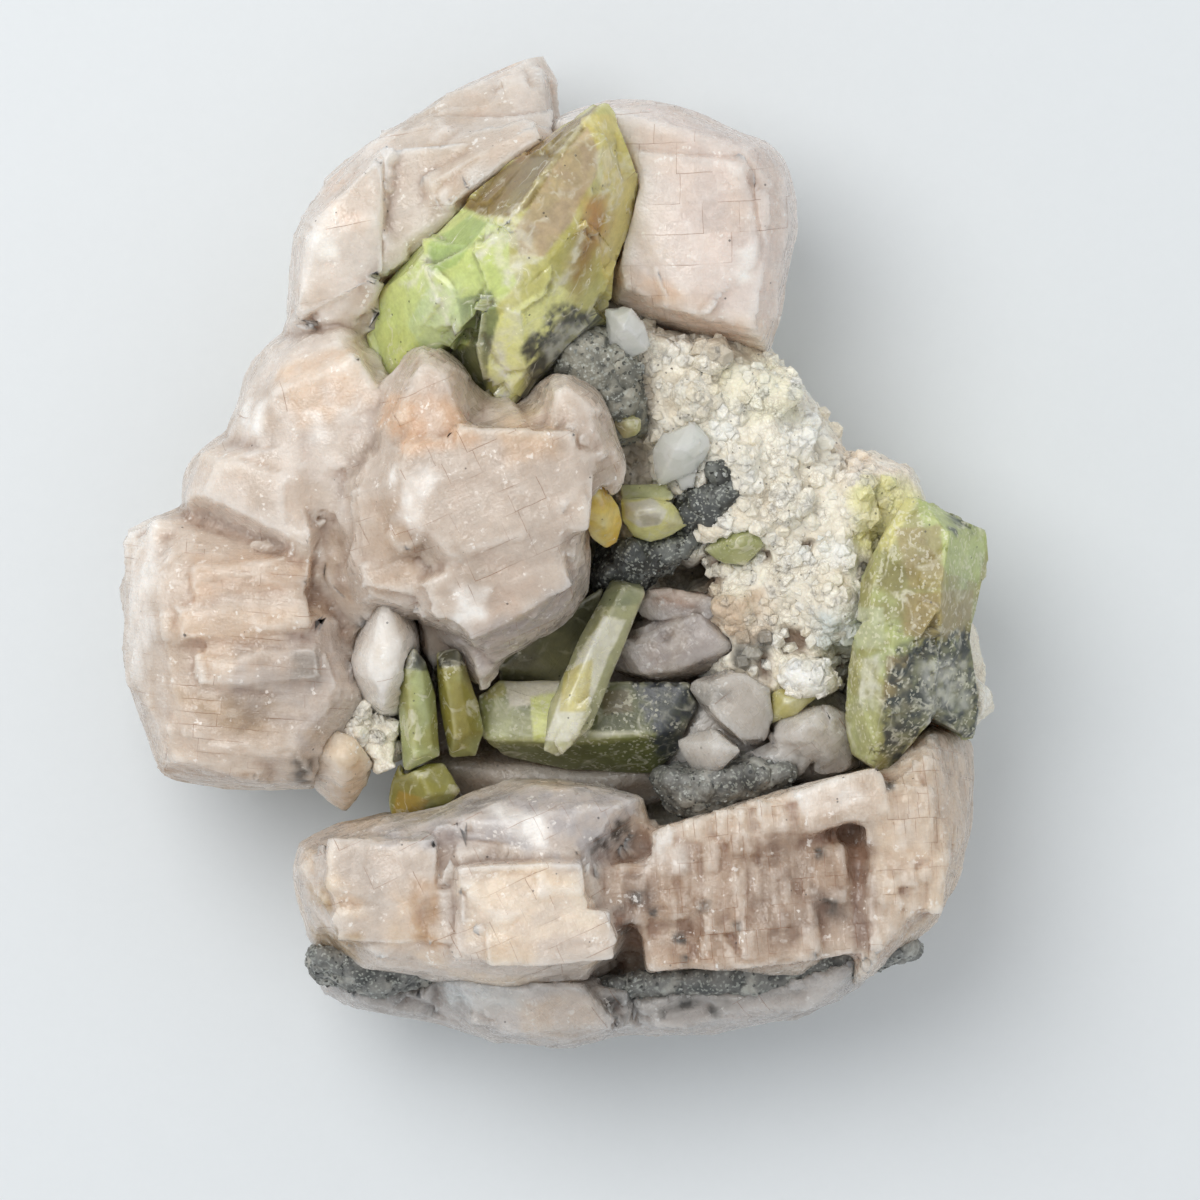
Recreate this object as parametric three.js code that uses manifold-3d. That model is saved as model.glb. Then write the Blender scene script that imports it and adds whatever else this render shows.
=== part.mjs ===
// A titanite specimen: green and honey wedge-shaped titanite crystals on pinkish adularia feldspar,
// with sugary white albite, dark chlorite and a few clear quartz chips between them.
// It lies on its back, cut flat underneath, and is seen from above.
//
// Every crystal is drawn in millimetres on one plan: x runs to the right, y runs down the face as
// it is looked at, and z is the height above the surface that the specimen lies on.
import * as THREE from "three";
import { ConvexGeometry } from "three/addons/geometries/ConvexGeometry.js";
import { mergeVertices } from "three/addons/utils/BufferGeometryUtils.js";
import Module from "manifold-3d";

// Driving dimensions, in millimetres
const PLAN_MIDDLE = { x: 55.8, y: 55.1 }; // the plan's point that becomes the middle of the specimen
const CONTACT_GAP = 0.4; // clearance cut round a crystal where another one grows against it
const SHARPEST = 0.4; // keeps the clearance of a thin edge from running out into a long spike
const SHOULDER = { inset: 0.3, rise: 0.68, least: 1.5 }; // where a side turns in towards its top
const TILT = { belly: 0.4, shoulder: 0.8, top: 1 }; // how much of a top's slope each ring takes on
const LEAST_RING = 0.25; // a ring keeps at least this share of its outline
const HOLLOW = 15; // where the crystals in the hollow are rooted
const FOOT_HEIGHT = 9; // where the crystals end and the albite underneath begins
const GRAIN = 1.9; // radius of a coarse albite grain
const FLAKE = 1.3; // radius of a clump of chlorite flakes

const wasm = await Module();
wasm.setup();

// The same numbers come out on every run
function dice(seed) {
  let state = seed;
  return () => {
    state = (state + 0x6d2b79f5) | 0;
    let t = Math.imul(state ^ (state >>> 15), 1 | state);
    t = (t + Math.imul(t ^ (t >>> 7), 61 | t)) ^ t;
    return ((t ^ (t >>> 14)) >>> 0) / 4294967296;
  };
}

// Geometry to solid and back

function toSolid(geometry) {
  const bare = geometry.clone();
  bare.deleteAttribute("normal");
  bare.deleteAttribute("uv");
  const merged = mergeVertices(bare, 1e-3);
  return new wasm.Manifold(
    new wasm.Mesh({
      numProp: 3,
      vertProperties: merged.attributes.position.array,
      triVerts: new Uint32Array(merged.index.array),
    }),
  );
}

function toGeometry(solid) {
  const mesh = solid.getMesh();
  const geometry = new THREE.BufferGeometry();
  geometry.setAttribute(
    "position",
    new THREE.BufferAttribute(new Float32Array(mesh.vertProperties), 3),
  );
  geometry.setIndex(new THREE.BufferAttribute(new Uint32Array(mesh.triVerts), 1));
  const faceted = geometry.toNonIndexed();
  faceted.computeVertexNormals();
  return faceted;
}

// A convex crystal or lump from its corners on the plan
function hullGeometry(corners) {
  return new ConvexGeometry(
    corners.map(([x, y, z]) => new THREE.Vector3(x - PLAN_MIDDLE.x, PLAN_MIDDLE.y - y, z)),
  );
}

const hull = (corners) => toSolid(hullGeometry(corners));

// The way out of a corner that gets away from all the faces that meet there about equally fast
function wayOut(normals) {
  const way = normals.reduce((sum, n) => sum.add(n), new THREE.Vector3()).normalize();
  for (let round = 0; round < 40; round += 1) {
    const slowest = normals.reduce((low, n) => (n.dot(way) < low.dot(way) ? n : low));
    way.addScaledVector(slowest, 0.1).normalize();
  }
  return way;
}

// The same lump drawn larger: each corner moves out until every face that meets there has moved by
// the contact gap, or nearly so at a sharp edge
function enlargedHull(corners) {
  const { position, normal } = hullGeometry(corners).attributes;
  const meetings = new Map();
  for (let i = 0; i < position.count; i += 1) {
    const corner = new THREE.Vector3().fromBufferAttribute(position, i);
    const key = corner.toArray().map((v) => v.toFixed(3)).join();
    const meeting = meetings.get(key) ?? { corner, normals: [] };
    meeting.normals.push(new THREE.Vector3().fromBufferAttribute(normal, i));
    meetings.set(key, meeting);
  }
  const pushed = [...meetings.values()].map(({ corner, normals }) => {
    const way = wayOut(normals);
    const slowest = Math.min(...normals.map((n) => n.dot(way)));
    return corner.addScaledVector(way, CONTACT_GAP / Math.max(slowest, SHARPEST));
  });
  return toSolid(new ConvexGeometry(pushed));
}

const union = (solids) => solids.reduce((sum, one) => sum.add(one));

function largestBody(solid) {
  const bodies = solid.decompose();
  return bodies.reduce((best, one) => (one.volume() > best.volume() ? one : best));
}

// Lumps, each a list of corners

function middleOf(outline) {
  const sum = outline.reduce(([a, b], [x, y]) => [a + x, b + y], [0, 0]);
  return [sum[0] / outline.length, sum[1] / outline.length];
}

// A rough crystal: its outline is drawn at the belly, where it is widest. From there it turns in by
// `round` millimetres to a gently domed top, and by `foot` millimetres to its underside. `slope` is
// how much higher the top stands for each millimetre to the right and down the plan.
function boulder(outline, shape) {
  const { top, belly, base = FOOT_HEIGHT, round = 2.5, foot = 3 } = shape;
  const { dome = 0.8, slope = [0, 0] } = shape;
  const [mx, my] = middleOf(outline);
  const ring = (inset, height, tilt) =>
    outline.map(([x, y]) => {
      const reach = Math.hypot(x - mx, y - my);
      const kept = Math.max(LEAST_RING, 1 - inset / reach);
      const dx = (x - mx) * kept;
      const dy = (y - my) * kept;
      return [mx + dx, my + dy, height + tilt * (dx * slope[0] + dy * slope[1])];
    });
  const everySecond = (corners) => corners.filter((_, i) => i % 2 === 0);
  const turn = belly + (top - belly) * SHOULDER.rise;
  const shoulder = ring(round * SHOULDER.inset, turn, TILT.shoulder);
  return [
    ...everySecond(ring(foot, base, 0)),
    ...ring(0, belly, TILT.belly),
    ...(round > SHOULDER.least ? everySecond(shoulder) : []),
    ...everySecond(ring(round, top, TILT.top)),
    [mx, my, top + dome],
  ];
}

// A squared cleavage block: middle of its top, its three sizes, its turn on the plan in degrees
// and how far its top leans
function block([x, y, z], [long, wide, deep], turn = 0, lean = [0, 0]) {
  const angle = THREE.MathUtils.degToRad(turn);
  const corners = [];
  for (const a of [-long / 2, long / 2]) {
    for (const b of [-wide / 2, wide / 2]) {
      const px = x + a * Math.cos(angle) - b * Math.sin(angle);
      const py = y + a * Math.sin(angle) + b * Math.cos(angle);
      const top = z + lean[0] * a + lean[1] * b;
      corners.push([px, py, top], [px, py, top - deep]);
    }
  }
  return corners;
}

// A mosaic of cleavage blocks over a face. Its rows run along `turn`, `height` is the face's height
// at a place on the plan, and each block stands up to `step` millimetres above that.
function mosaic(shape) {
  const { middle, columns, rows, long, wide, deep = 5, turn, lean = [0, 0] } = shape;
  const { height, step, seed } = shape;
  const random = dice(seed);
  const angle = THREE.MathUtils.degToRad(turn);
  const field = [];
  for (let row = 0; row < rows; row += 1) {
    for (let column = 0; column < columns; column += 1) {
      const stagger = 0.4 * (row % 2) + 0.2 * (random() - 0.5);
      const a = (column - (columns - 1) / 2 + stagger) * long;
      const b = (row - (rows - 1) / 2) * wide;
      const x = middle[0] + a * Math.cos(angle) - b * Math.sin(angle);
      const y = middle[1] + a * Math.sin(angle) + b * Math.cos(angle);
      const size = [long * (0.95 + 0.2 * random()), wide * (1 + 0.1 * random()), deep];
      field.push(block([x, y, height(x, y) + step * random()], size, turn, lean));
    }
  }
  return field;
}

// A small eight-sided grain, turned at random
function grain([x, y, z], radius, random) {
  const turn = new THREE.Euler(random() * Math.PI, random() * Math.PI, random() * Math.PI);
  const ends = [[1, 0, 0], [-1, 0, 0], [0, 1, 0], [0, -1, 0], [0, 0, 1], [0, 0, -1]];
  return ends.map((end) => {
    const corner = new THREE.Vector3(...end);
    corner.applyEuler(turn).multiplyScalar(radius * (0.9 + 0.3 * random()));
    return [x + corner.x, y + corner.y, z + corner.z];
  });
}

// Grains scattered along a path on the plan
function grainsAlong(path, { count, spread, radius, seed }) {
  const random = dice(seed);
  const curve = new THREE.CatmullRomCurve3(path.map((p) => new THREE.Vector3(...p)));
  return Array.from({ length: count }, (_, i) => {
    const at = curve.getPointAt((i + 0.5) / count);
    const place = [
      at.x + (random() - 0.5) * spread,
      at.y + (random() - 0.5) * spread,
      at.z + (random() - 0.5) * 0.8,
    ];
    return grain(place, radius * (0.8 + 0.4 * random()), random);
  });
}

// Titanite: wedge-shaped crystals with flat faces and sharp edges

const mainTitanite = [
  // the upper wedge, from its tip down both sides of the long ridge
  [
    [60.2, 11.1, 37], [57.2, 12.8, 34], [53.2, 15.3, 33], [50, 17.8, 32.4], [46.2, 21.2, 31.6],
    [58.8, 12.6, 40], [54.6, 18.2, 43], [50.6, 23.4, 43.8],
    [59.9, 14.6, 40.5], [59.4, 20, 41.6], [55.4, 26, 42.2],
    [61.6, 12.2, 36], [63, 15.5, 34.5], [63.7, 18.2, 33.5], [63.3, 21.4, 32.5], [61.7, 27, 31],
    [60.4, 14, 22], [48, 22.4, 20], [61.4, 26, 20], [52, 30, 20],
  ],
  // the prism that reaches down to its root
  [
    [55.4, 25, 42.6], [58.6, 23, 41.2], [51, 30.2, 41.8], [61.7, 26.4, 32.6], [60.7, 31, 31],
    [60, 33, 30], [56.2, 33.2, 36], [53.6, 36, 36], [51.6, 40.6, 32.5], [50.2, 41.2, 32.5],
    [48, 36.4, 36.6], [48.4, 31.4, 40.6], [51, 40, 22], [48.6, 33, 20], [60, 31, 20], [54, 35, 20],
  ],
  // the green body on the left, with its own ridge
  [
    [50.6, 23.6, 42.6], [45.8, 22, 33], [43, 24.4, 32.2], [40, 27, 31], [38, 30, 29.5],
    [37.1, 33, 28], [37.2, 37, 26.5], [36.7, 39.6, 26], [38.2, 40.6, 26.5], [39.8, 39, 28.5],
    [45.2, 35, 33], [48.6, 32.2, 35.5], [51.2, 27.5, 42], [43.4, 27.2, 37.2], [44.3, 30.6, 37.6],
    [38.6, 39, 17], [38.6, 31.6, 18], [49.4, 20.8, 34], [50, 22, 20], [47.6, 32.6, 20],
  ],
  // the saddle where the three meet
  [
    [50.6, 23.6, 43.1], [54, 25, 42.5], [55.4, 26.2, 42.1], [51.4, 30, 41.6], [49.4, 31.2, 40.4],
    [47.6, 30.6, 37.6], [47.8, 26, 40], [50, 24, 31], [54, 26, 31], [50, 30, 31],
  ],
  // the sunk face between the green body and the prism
  [
    [49.4, 31.4, 37], [47.6, 33.6, 33.6], [44.6, 36.4, 29.4], [47.4, 39.6, 28.4], [51, 40, 29.6],
    [51, 34, 36], [46, 37, 21], [50, 38, 21], [49, 33, 21],
  ],
];

const rightTitanite = [
  // the upper face, brownish in its middle
  [
    [87.4, 54.6, 30.6], [89, 51.6, 31.4], [91.2, 49.8, 30.4], [94.4, 53.8, 34], [93.4, 60.6, 35],
    [90.2, 66.6, 33.6], [86.4, 64.4, 31.4], [86, 58, 30], [88, 55, 12], [93, 54, 12], [93, 65, 12],
    [86.8, 64, 12],
  ],
  // the face that falls to the right edge
  [
    [91.4, 49.9, 30], [97.9, 52.8, 26.4], [98.5, 54.4, 25], [97.1, 58.2, 26.4], [96.6, 65, 27],
    [93.4, 66.2, 32.6], [93.6, 60.4, 34.6], [94.3, 53.6, 33.6], [92, 52, 12], [96.6, 55, 12],
    [95.6, 64, 12], [92.6, 66, 12],
  ],
  // the pale ridge at the lower left
  [
    [86.2, 62.4, 31], [89.4, 63, 34], [88.6, 70.6, 33], [87, 76.6, 28.6], [85.5, 75.4, 27],
    [84.7, 70.6, 28], [84.9, 66, 29.4], [86, 64, 12], [90, 66, 12], [88, 75.6, 12], [85.8, 74, 12],
  ],
  // the brown face beside it
  [
    [89.2, 62.8, 33.8], [93.4, 64.6, 32.4], [93.2, 70.8, 29.6], [90.4, 74.8, 27.8],
    [88.4, 76.9, 26.4], [86.9, 76.6, 28], [88.6, 70.8, 32.6], [90, 64, 12], [93, 66, 12],
    [92, 71, 12], [88.4, 75.8, 12],
  ],
  // the dark face at the lower right
  [
    [92, 64, 32.2], [96.6, 64, 28], [97.5, 70, 26], [97.4, 73.1, 24.6], [96, 73.7, 24.6],
    [92.4, 71.6, 27.6], [93, 70.4, 29.8], [94, 66, 12], [96.2, 66, 12], [96.4, 72.6, 12],
    [93.4, 71, 12],
  ],
];

const crossBlade = [
  [
    [61.4, 57.7, 24.6], [63.9, 58.2, 24.6], [60.7, 58.8, 26.6], [64.4, 59.2, 26.8],
    [62.5, 58.8, 28.2], [57.5, 65, 27.6], [62.3, 64.2, 27.4], [59.7, 63.4, 29.8], [55, 70.5, 28],
    [60.1, 69.2, 27.8], [57, 69.8, 30.2], [54.5, 74.9, 27.6], [55.8, 75.6, 27.4],
    [59.1, 72.6, 27.6], [57.1, 73, 29.4], [60.8, 60, 22.8], [63.6, 60, 22.8], [55.4, 73.8, 24.8],
    [58.2, 72, 24.8],
  ],
  // a splinter that lies along its lower end
  [
    [56.2, 75.4, 28.6], [55.4, 74.2, 28.8], [57.6, 70.4, 30.2], [59.4, 69.2, 30],
    [59.2, 71, 29.6], [57.8, 73.6, 29], [56.8, 72.6, 26.4],
  ],
];

const longBlade = [
  [
    [47.9, 69.6, 22], [50, 68.1, 22.4], [60, 68.2, 23], [68.8, 68.2, 23.2], [69.7, 70.4, 22.4],
    [48.3, 73.8, 23], [57, 74, 24.4], [66, 73.2, 24.4], [68.4, 72.6, 23.4], [50.6, 75.6, 19.4],
    [57, 76.9, 18.4], [65.2, 77.3, 18.2], [67.4, 75.4, 20], [50, 70, HOLLOW], [67, 70, HOLLOW],
    [52, 75, HOLLOW], [65, 75.8, HOLLOW],
  ],
];

const darkPlate = [
  [
    [49.6, 66.6, 22.4], [53, 63.6, 24], [57.4, 60.6, 25], [60.4, 58.6, 25.4], [61.4, 60.4, 24],
    [59, 64.6, 22.6], [56, 68, 21], [50, 68.2, 20.6], [51, 67, HOLLOW], [60, 60.4, HOLLOW],
    [56, 66.6, HOLLOW],
  ],
];

const leftPrism = [
  [
    [40, 66.6, 29.4], [41.6, 64.8, 31], [42.6, 66.2, 30.4], [43.6, 69.6, 27.4], [44, 75.4, 26],
    [40.6, 77, 24.8], [40, 70, 26.6], [41, 66.6, 31.4], [42.2, 67, 31], [41.6, 75.6, 28.2],
    [43.4, 75, 27.6], [40.8, 68, HOLLOW], [43, 68, HOLLOW], [40.9, 76.4, HOLLOW],
    [43.6, 75.2, HOLLOW],
  ],
];

const secondPrism = [
  [
    [43.9, 65.2, 28.4], [46, 64.8, 29], [46.6, 66.4, 28.4], [47.8, 70.4, 26], [48.3, 73, 24.8],
    [47.6, 75.4, 23.8], [45.2, 75.6, 24], [44.2, 71, 26], [44.6, 66.7, 30], [45.9, 66.6, 30],
    [45.6, 73.6, 27.4], [47, 73, 26.8], [44.6, 67, HOLLOW], [47.2, 70, HOLLOW],
    [46, 74.8, HOLLOW],
  ],
];

const lowerTitanite = [
  [
    [40, 76.4, 24], [44.4, 76.3, 24.4], [46, 79, 23.4], [44.6, 80.6, 22], [41.6, 81.4, 21.4],
    [39.3, 81.8, 20], [39, 80, 21], [39.4, 78, 23], [42.2, 77.4, 26.2], [43, 79.3, 25.4],
    [40.4, 77, HOLLOW], [44, 77.4, HOLLOW], [44, 79.8, HOLLOW], [40.4, 80.6, HOLLOW],
  ],
];

const honeyTitanite = [
  [
    [59.2, 47.1, 38], [58, 49.6, 38.6], [58.2, 51.6, 37.4], [59.2, 53.8, 34.6], [60.6, 54.8, 32.6],
    [61.6, 54.2, 32.4], [62.1, 52.4, 33.6], [61.8, 50.9, 35], [60.2, 50.4, 38.8],
    [60.4, 52.6, 36.8], [59, 48.8, 39.4], [59.4, 49, 24], [61.2, 50.6, 24], [60.6, 53.6, 24],
  ],
];

const yellowTitanite = [
  [
    [62.1, 50, 29.6], [64.6, 49.9, 30.2], [67, 50.4, 30], [68.8, 52.4, 28], [67, 53.5, 28],
    [65.3, 54.2, 27.8], [63.4, 53.7, 28], [62.2, 52, 29], [65.4, 50.9, 32], [66.4, 52, 31.2],
    [63.6, 51.4, 31.8], [63, 50.6, 24], [66.8, 51, 24], [64.6, 53, 24],
  ],
  [[62, 48.6, 28], [66.8, 48.6, 28.4], [67.4, 50, 29.4], [62.2, 50.4, 29.6], [64, 49.4, 24]],
];

const veinTitanite = [
  [
    [70.4, 55, 26.4], [73, 52.8, 27.4], [75.4, 52.9, 27.6], [76.5, 54.4, 27], [74.4, 56.4, 26.4],
    [72, 56.2, 26.4], [73.8, 54.2, 29.4], [71.6, 55, 22], [75, 54.6, 22],
  ],
];

const wedgeTitanite = [
  [
    [76.8, 72.3, 25.2], [77.2, 68.8, 25.6], [82, 69.1, 25.6], [79.5, 71.3, 26.4],
    [78.5, 69.9, 27.8], [77.6, 70.2, 20], [80.6, 69.8, 20],
  ],
];

const beadTitanite = [
  [
    [61.2, 42.2, 29.6], [62.6, 41.3, 30.2], [64.1, 42.2, 30.2], [64, 43.5, 29.8], [62.4, 44, 29.2],
    [62.8, 42.6, 31.4], [62, 42.6, 26], [63.4, 43, 26],
  ],
];

// Quartz: clear angular chips

const quartzChip = [
  [
    [65.2, 45.2, 29.6], [66.2, 43.8, 30.4], [68, 43.6, 31], [69.2, 42.3, 30.8],
    [70.8, 44.1, 30.8], [70.6, 45.6, 30.4], [69, 47.4, 30], [67.6, 47.8, 29.6],
    [65.8, 48.6, 29], [65.2, 46.6, 29.2], [67.4, 45.2, 32.6], [69.2, 44.9, 32.2],
    [66.4, 45.4, 26], [69.6, 45, 26],
  ],
  [[67.4, 47, 29.6], [69.6, 46.4, 29.8], [69.2, 48.9, 28.8], [68, 49.1, 28.6], [68.4, 47.6, 26]],
];

const upperQuartzChip = [
  [
    [60.6, 31.3, 32], [63, 31.2, 33], [64.7, 33.4, 32.4], [64.6, 35.2, 31.8],
    [62.6, 36.2, 31], [60.9, 34.8, 31.4], [62.4, 33, 34.6], [61.6, 33, 27], [63.8, 34.4, 27],
  ],
];

// Chlorite: dark scaly clumps and seams

const chloritePocket = [
  boulder(
    [
      [51.4, 42.4], [52.4, 38], [55.4, 32], [60, 31.4], [63.4, 34.6], [64.8, 38.5], [64.4, 43],
      [60, 45],
    ],
    { top: 31.6, belly: 26, base: 21, round: 1.4, foot: 1, slope: [-0.04, -0.2] },
  ),
  ...grainsAlong([[53.6, 38.6, 32], [56.6, 34.4, 33.4], [61, 35.4, 32], [63.4, 40.6, 30.4]], {
    count: 2, spread: 2.4, radius: FLAKE * 1.3, seed: 11,
  }),
];

const chloriteVein = [
  boulder(
    [
      [59.6, 57.8], [60.6, 55.4], [64.4, 53.7], [69.4, 50.4], [70.6, 53.6], [67, 56],
      [63.4, 59], [60.4, 60],
    ],
    { top: 26.4, belly: 22, base: 18, round: 1.4, foot: 1, slope: [0.1, 0] },
  ),
  boulder(
    [
      [66.6, 52.4], [69, 48.2], [72.4, 46.4], [75.4, 45.3], [76.2, 47.4], [73.8, 50.4],
      [70.8, 53.6],
    ],
    { top: 29, belly: 25, base: 21, round: 1.4, foot: 1, slope: [0.05, 0] },
  ),
  ...grainsAlong([[61.4, 58.4, 26], [66, 55, 27.4], [70, 50.6, 29], [74.6, 46.8, 29]], {
    count: 3, spread: 2.4, radius: FLAKE * 1.2, seed: 12,
  }),
];

const chloriteLedge = [
  boulder(
    [
      [65.6, 77.6], [70, 78.2], [76, 76.4], [79.4, 74.6], [79.8, 76.8], [77.2, 79],
      [72.4, 80.6], [70.2, 82], [67.2, 80.4],
    ],
    { top: 27, belly: 22, round: 1.2, foot: 0.5, dome: 0.3, slope: [0.05, -0.2] },
  ),
  ...grainsAlong([[67.4, 79, 26.6], [72, 79, 27.4], [78.6, 76, 27.6]], {
    count: 2, spread: 1.6, radius: FLAKE, seed: 13,
  }),
];

const leftSeam = [
  boulder([[31.2, 94.8], [38, 96.6], [43.8, 95.8], [44.6, 97.8], [38.4, 99.4], [31.6, 97.4]], {
    top: 25.8, belly: 21, base: 17, round: 1, foot: 0.6, dome: 0.3, slope: [0, -0.3],
  }),
];

const rightSeam = [
  boulder([[59.6, 98.2], [75, 97], [91.4, 94.2], [91.8, 95.2], [76, 99.4], [60.4, 101]], {
    top: 26.4, belly: 21, base: 17, round: 1, foot: 0.6, dome: 0.3, slope: [-0.04, -0.3],
  }),
];

// Adularia: blocky feldspar crystals that step along their cleavage

const adulariaCentre = [
  // the rounded knob at its upper left
  boulder(
    [
      [39.2, 40.2], [40.4, 36.6], [42.4, 34.7], [44.4, 34.9], [46.2, 36.6], [47.9, 39.6],
      [48, 46], [41, 47], [38, 44], [37.6, 41.4],
    ],
    { top: 41, belly: 33, base: 14, round: 2.4, foot: 1.4, dome: 0.6, slope: [0.1, 0.1] },
  ),
  // its upper body
  boulder(
    [
      [38.6, 44], [45.6, 39.4], [54, 42], [60, 41.6], [61.8, 45.2], [60.6, 48.2], [58, 49.6],
      [57.6, 53.6], [57.4, 57], [52, 58], [44, 57], [39.4, 53], [37.2, 50],
    ],
    { top: 42.6, belly: 32, round: 2.6, foot: 4, dome: 0.7, slope: [0.02, 0] },
  ),
  // the knuckle at its upper right
  boulder(
    [
      [53.6, 43], [53.8, 39], [55.2, 37.6], [57.6, 38], [59.8, 39.6], [61.2, 42.4], [60.8, 46],
      [55.4, 46],
    ],
    { top: 41.4, belly: 33, base: 16, round: 1.8, foot: 1, slope: [-0.05, 0.1] },
  ),
  // its lower body, undercut where it hangs over the hollow
  boulder(
    [
      [40.4, 57], [45, 52], [54, 50.8], [57.8, 52.2], [59.2, 55.4], [58.8, 59.2], [56.2, 62.2],
      [53, 64.4], [49.6, 65.6], [45.6, 64], [42.6, 61.8], [40.1, 58.6],
    ],
    { top: 39.4, belly: 29, round: 3, foot: 5, slope: [0.06, -0.2] },
  ),
  // a tooth below it
  boulder([[46.8, 63.6], [50.8, 64], [49.6, 67.4], [48, 69], [47.2, 67.2]], {
    top: 31, belly: 27, base: 17, round: 0.8, foot: 0.6, dome: 0.4,
  }),
  // its root behind the two small prisms
  [
    [42, 61, 27], [46.6, 63.4, 27.4], [47.4, 67, 26.4], [44.4, 70.6, 24], [43, 68, 25.6],
    [43, 62, 16], [46.6, 66, 16], [44.4, 70, 16],
  ],
  // a clear flake beside the honey-coloured crystal
  [
    [59.6, 44.8, 40.6], [61.6, 44.6, 38.6], [62.2, 46.6, 38], [62, 48.8, 37], [61.4, 50, 36.6],
    [60.6, 48.4, 39.4], [60.4, 46.4, 40.8], [60, 46, 30], [61.4, 48, 30],
  ],
  // its back, which joins the shoulder
  boulder([[37, 44], [43, 46], [43.4, 61], [40.4, 62.6], [36, 60.4], [34.6, 54], [35, 48]], {
    top: 38, belly: 26, round: 2, foot: 1, slope: [0.25, 0],
  }),
  // plates along the cleavage of the left flank
  block([42.2, 47.6, 41.6], [7.6, 2.4, 6], -52, [0.1, 0.25]),
  block([42, 51.8, 40.4], [6.4, 2.2, 6], -58, [0.06, 0.3]),
  // squared growth steps of its two bodies
  ...mosaic({
    middle: [51.4, 48], columns: 2, rows: 2, long: 5.6, wide: 4.6, turn: 4,
    height: (x) => 43.4 - 0.03 * Math.abs(x - 50), step: 0.8, seed: 22,
  }),
  ...mosaic({
    middle: [49, 59.2], columns: 2, rows: 2, long: 5.4, wide: 3.4, turn: -28, lean: [0.05, -0.22],
    height: (x, y) => 41.2 - 0.26 * (y - 56) - 0.05 * Math.abs(x - 50), step: 0.8, seed: 21,
  }),
];

const adulariaDrop = [
  boulder(
    [
      [38.7, 58.8], [40.4, 60.8], [41.7, 63], [42, 66], [41, 68.4], [40.4, 71.4], [38.2, 71.2],
      [36, 69.6], [35.2, 66.6], [36.2, 62.6],
    ],
    { top: 33, belly: 25, round: 2, foot: 1, slope: [0.08, -0.12] },
  ),
];

const smallWedge = [
  [
    [29.8, 75.1, 25.4], [33.6, 73.2, 28], [35.2, 73.7, 28.4], [37.1, 76, 27], [36.8, 78.3, 23.6],
    [34.5, 81, 18], [32.3, 79.2, 19.6], [34.6, 75.6, 29.6], [34.4, 78.4, 26],
    [32, 76, FOOT_HEIGHT], [36.2, 77, FOOT_HEIGHT], [34.6, 79.4, FOOT_HEIGHT],
  ],
];

const greyCluster = [
  boulder(
    [
      [66.6, 71], [72.4, 66.8], [80, 68], [85, 70], [86, 76.6], [80.4, 80], [71, 80.4],
      [66, 77.4],
    ],
    { top: 22.4, belly: 16, round: 1.6, foot: 1 },
  ),
  // the long clear crystal, its squared neighbour, and the two on the right
  [
    [69.3, 69, 25], [69.8, 67.7, 25.6], [72.4, 67.3, 26.8], [74.4, 67.6, 26.6], [76.8, 69, 26],
    [77, 71.4, 26.4], [76.4, 74, 25.8], [74, 73.8, 28], [72.2, 72.1, 28.8], [71, 70.2, 27.8],
    [71, 69, 15], [75, 69, 15], [75.6, 73, 15], [72, 72, 15],
  ],
  [
    [68, 74.2, 26], [71.3, 72.8, 28.6], [73.9, 74.9, 29.2], [72.6, 76, 28.8], [71, 77.4, 26.4],
    [69.6, 77, 25.4], [71.6, 74.6, 30], [69, 74.6, 15], [73, 75, 15], [70.6, 76.6, 15],
  ],
  [
    [77.2, 72.2, 25.4], [81.4, 70.6, 26.6], [83, 71.8, 26.2], [83, 75.4, 25.4], [80, 75.9, 25.4],
    [77.4, 74.4, 26], [79.4, 73.2, 28.4], [81.4, 72.8, 28.2], [78, 73, 15], [82, 72, 15],
    [82, 75, 15],
  ],
  [
    [82.4, 70.4, 25.4], [84.4, 71.2, 25], [85, 74.2, 24.4], [84.4, 77, 23.6], [81.4, 77.2, 24.6],
    [82.6, 74.6, 27], [83, 71.6, 27], [83, 72, 15], [84, 76, 15], [82, 76, 15],
  ],
  [
    [74.6, 75, 25], [78.4, 74.6, 26.2], [80.6, 76, 26], [79.8, 77.6, 25], [75, 77.6, 24.6],
    [77.4, 76, 27.2], [75.6, 75.6, 15], [79.6, 76, 15], [77, 77, 15],
  ],
];

const hollowFloor = [
  // a pink squared crystal, a brown one beside it and a long clear grey one
  [
    [65.2, 56.6, 25], [67.2, 55.8, 26.2], [70, 55.8, 26.6], [70.6, 57.8, 27], [69.8, 59.6, 26],
    [67.2, 58.8, 26.6], [64.8, 58, 25], [66, 57, 12], [69.6, 57, 12], [68, 60, 12],
  ],
  [
    [63.4, 60.2, 24], [65.6, 58.8, 25.2], [70, 59.8, 25.4], [72, 60.6, 25.6], [70.4, 62, 24.4],
    [64.4, 61.6, 23.6], [64.6, 60.4, 12], [70.6, 60.8, 12],
  ],
  boulder(
    [
      [61.3, 64.4], [64.9, 61], [70.3, 60.8], [72.9, 62.2], [73.8, 64.6], [72.4, 66.4],
      [69.4, 67], [67, 68.3], [63.6, 67.5], [60.4, 66.2],
    ],
    { top: 25, belly: 20, round: 1.2, foot: 1, dome: 0.3, slope: [0.08, -0.1] },
  ),
  // the strip below the long blade
  boulder(
    [
      [42.4, 76.4], [48, 74.4], [66, 77], [66.6, 80], [58, 80.6], [44, 81.2],
    ],
    { top: 18, belly: 14, round: 1.4, foot: 0.6 },
  ),
  boulder([[40.6, 64], [62, 60], [72, 66], [70, 79], [43, 81]], {
    top: HOLLOW - 3 * CONTACT_GAP, belly: 12, round: 1, foot: 1, dome: 0,
  }),
];

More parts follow.
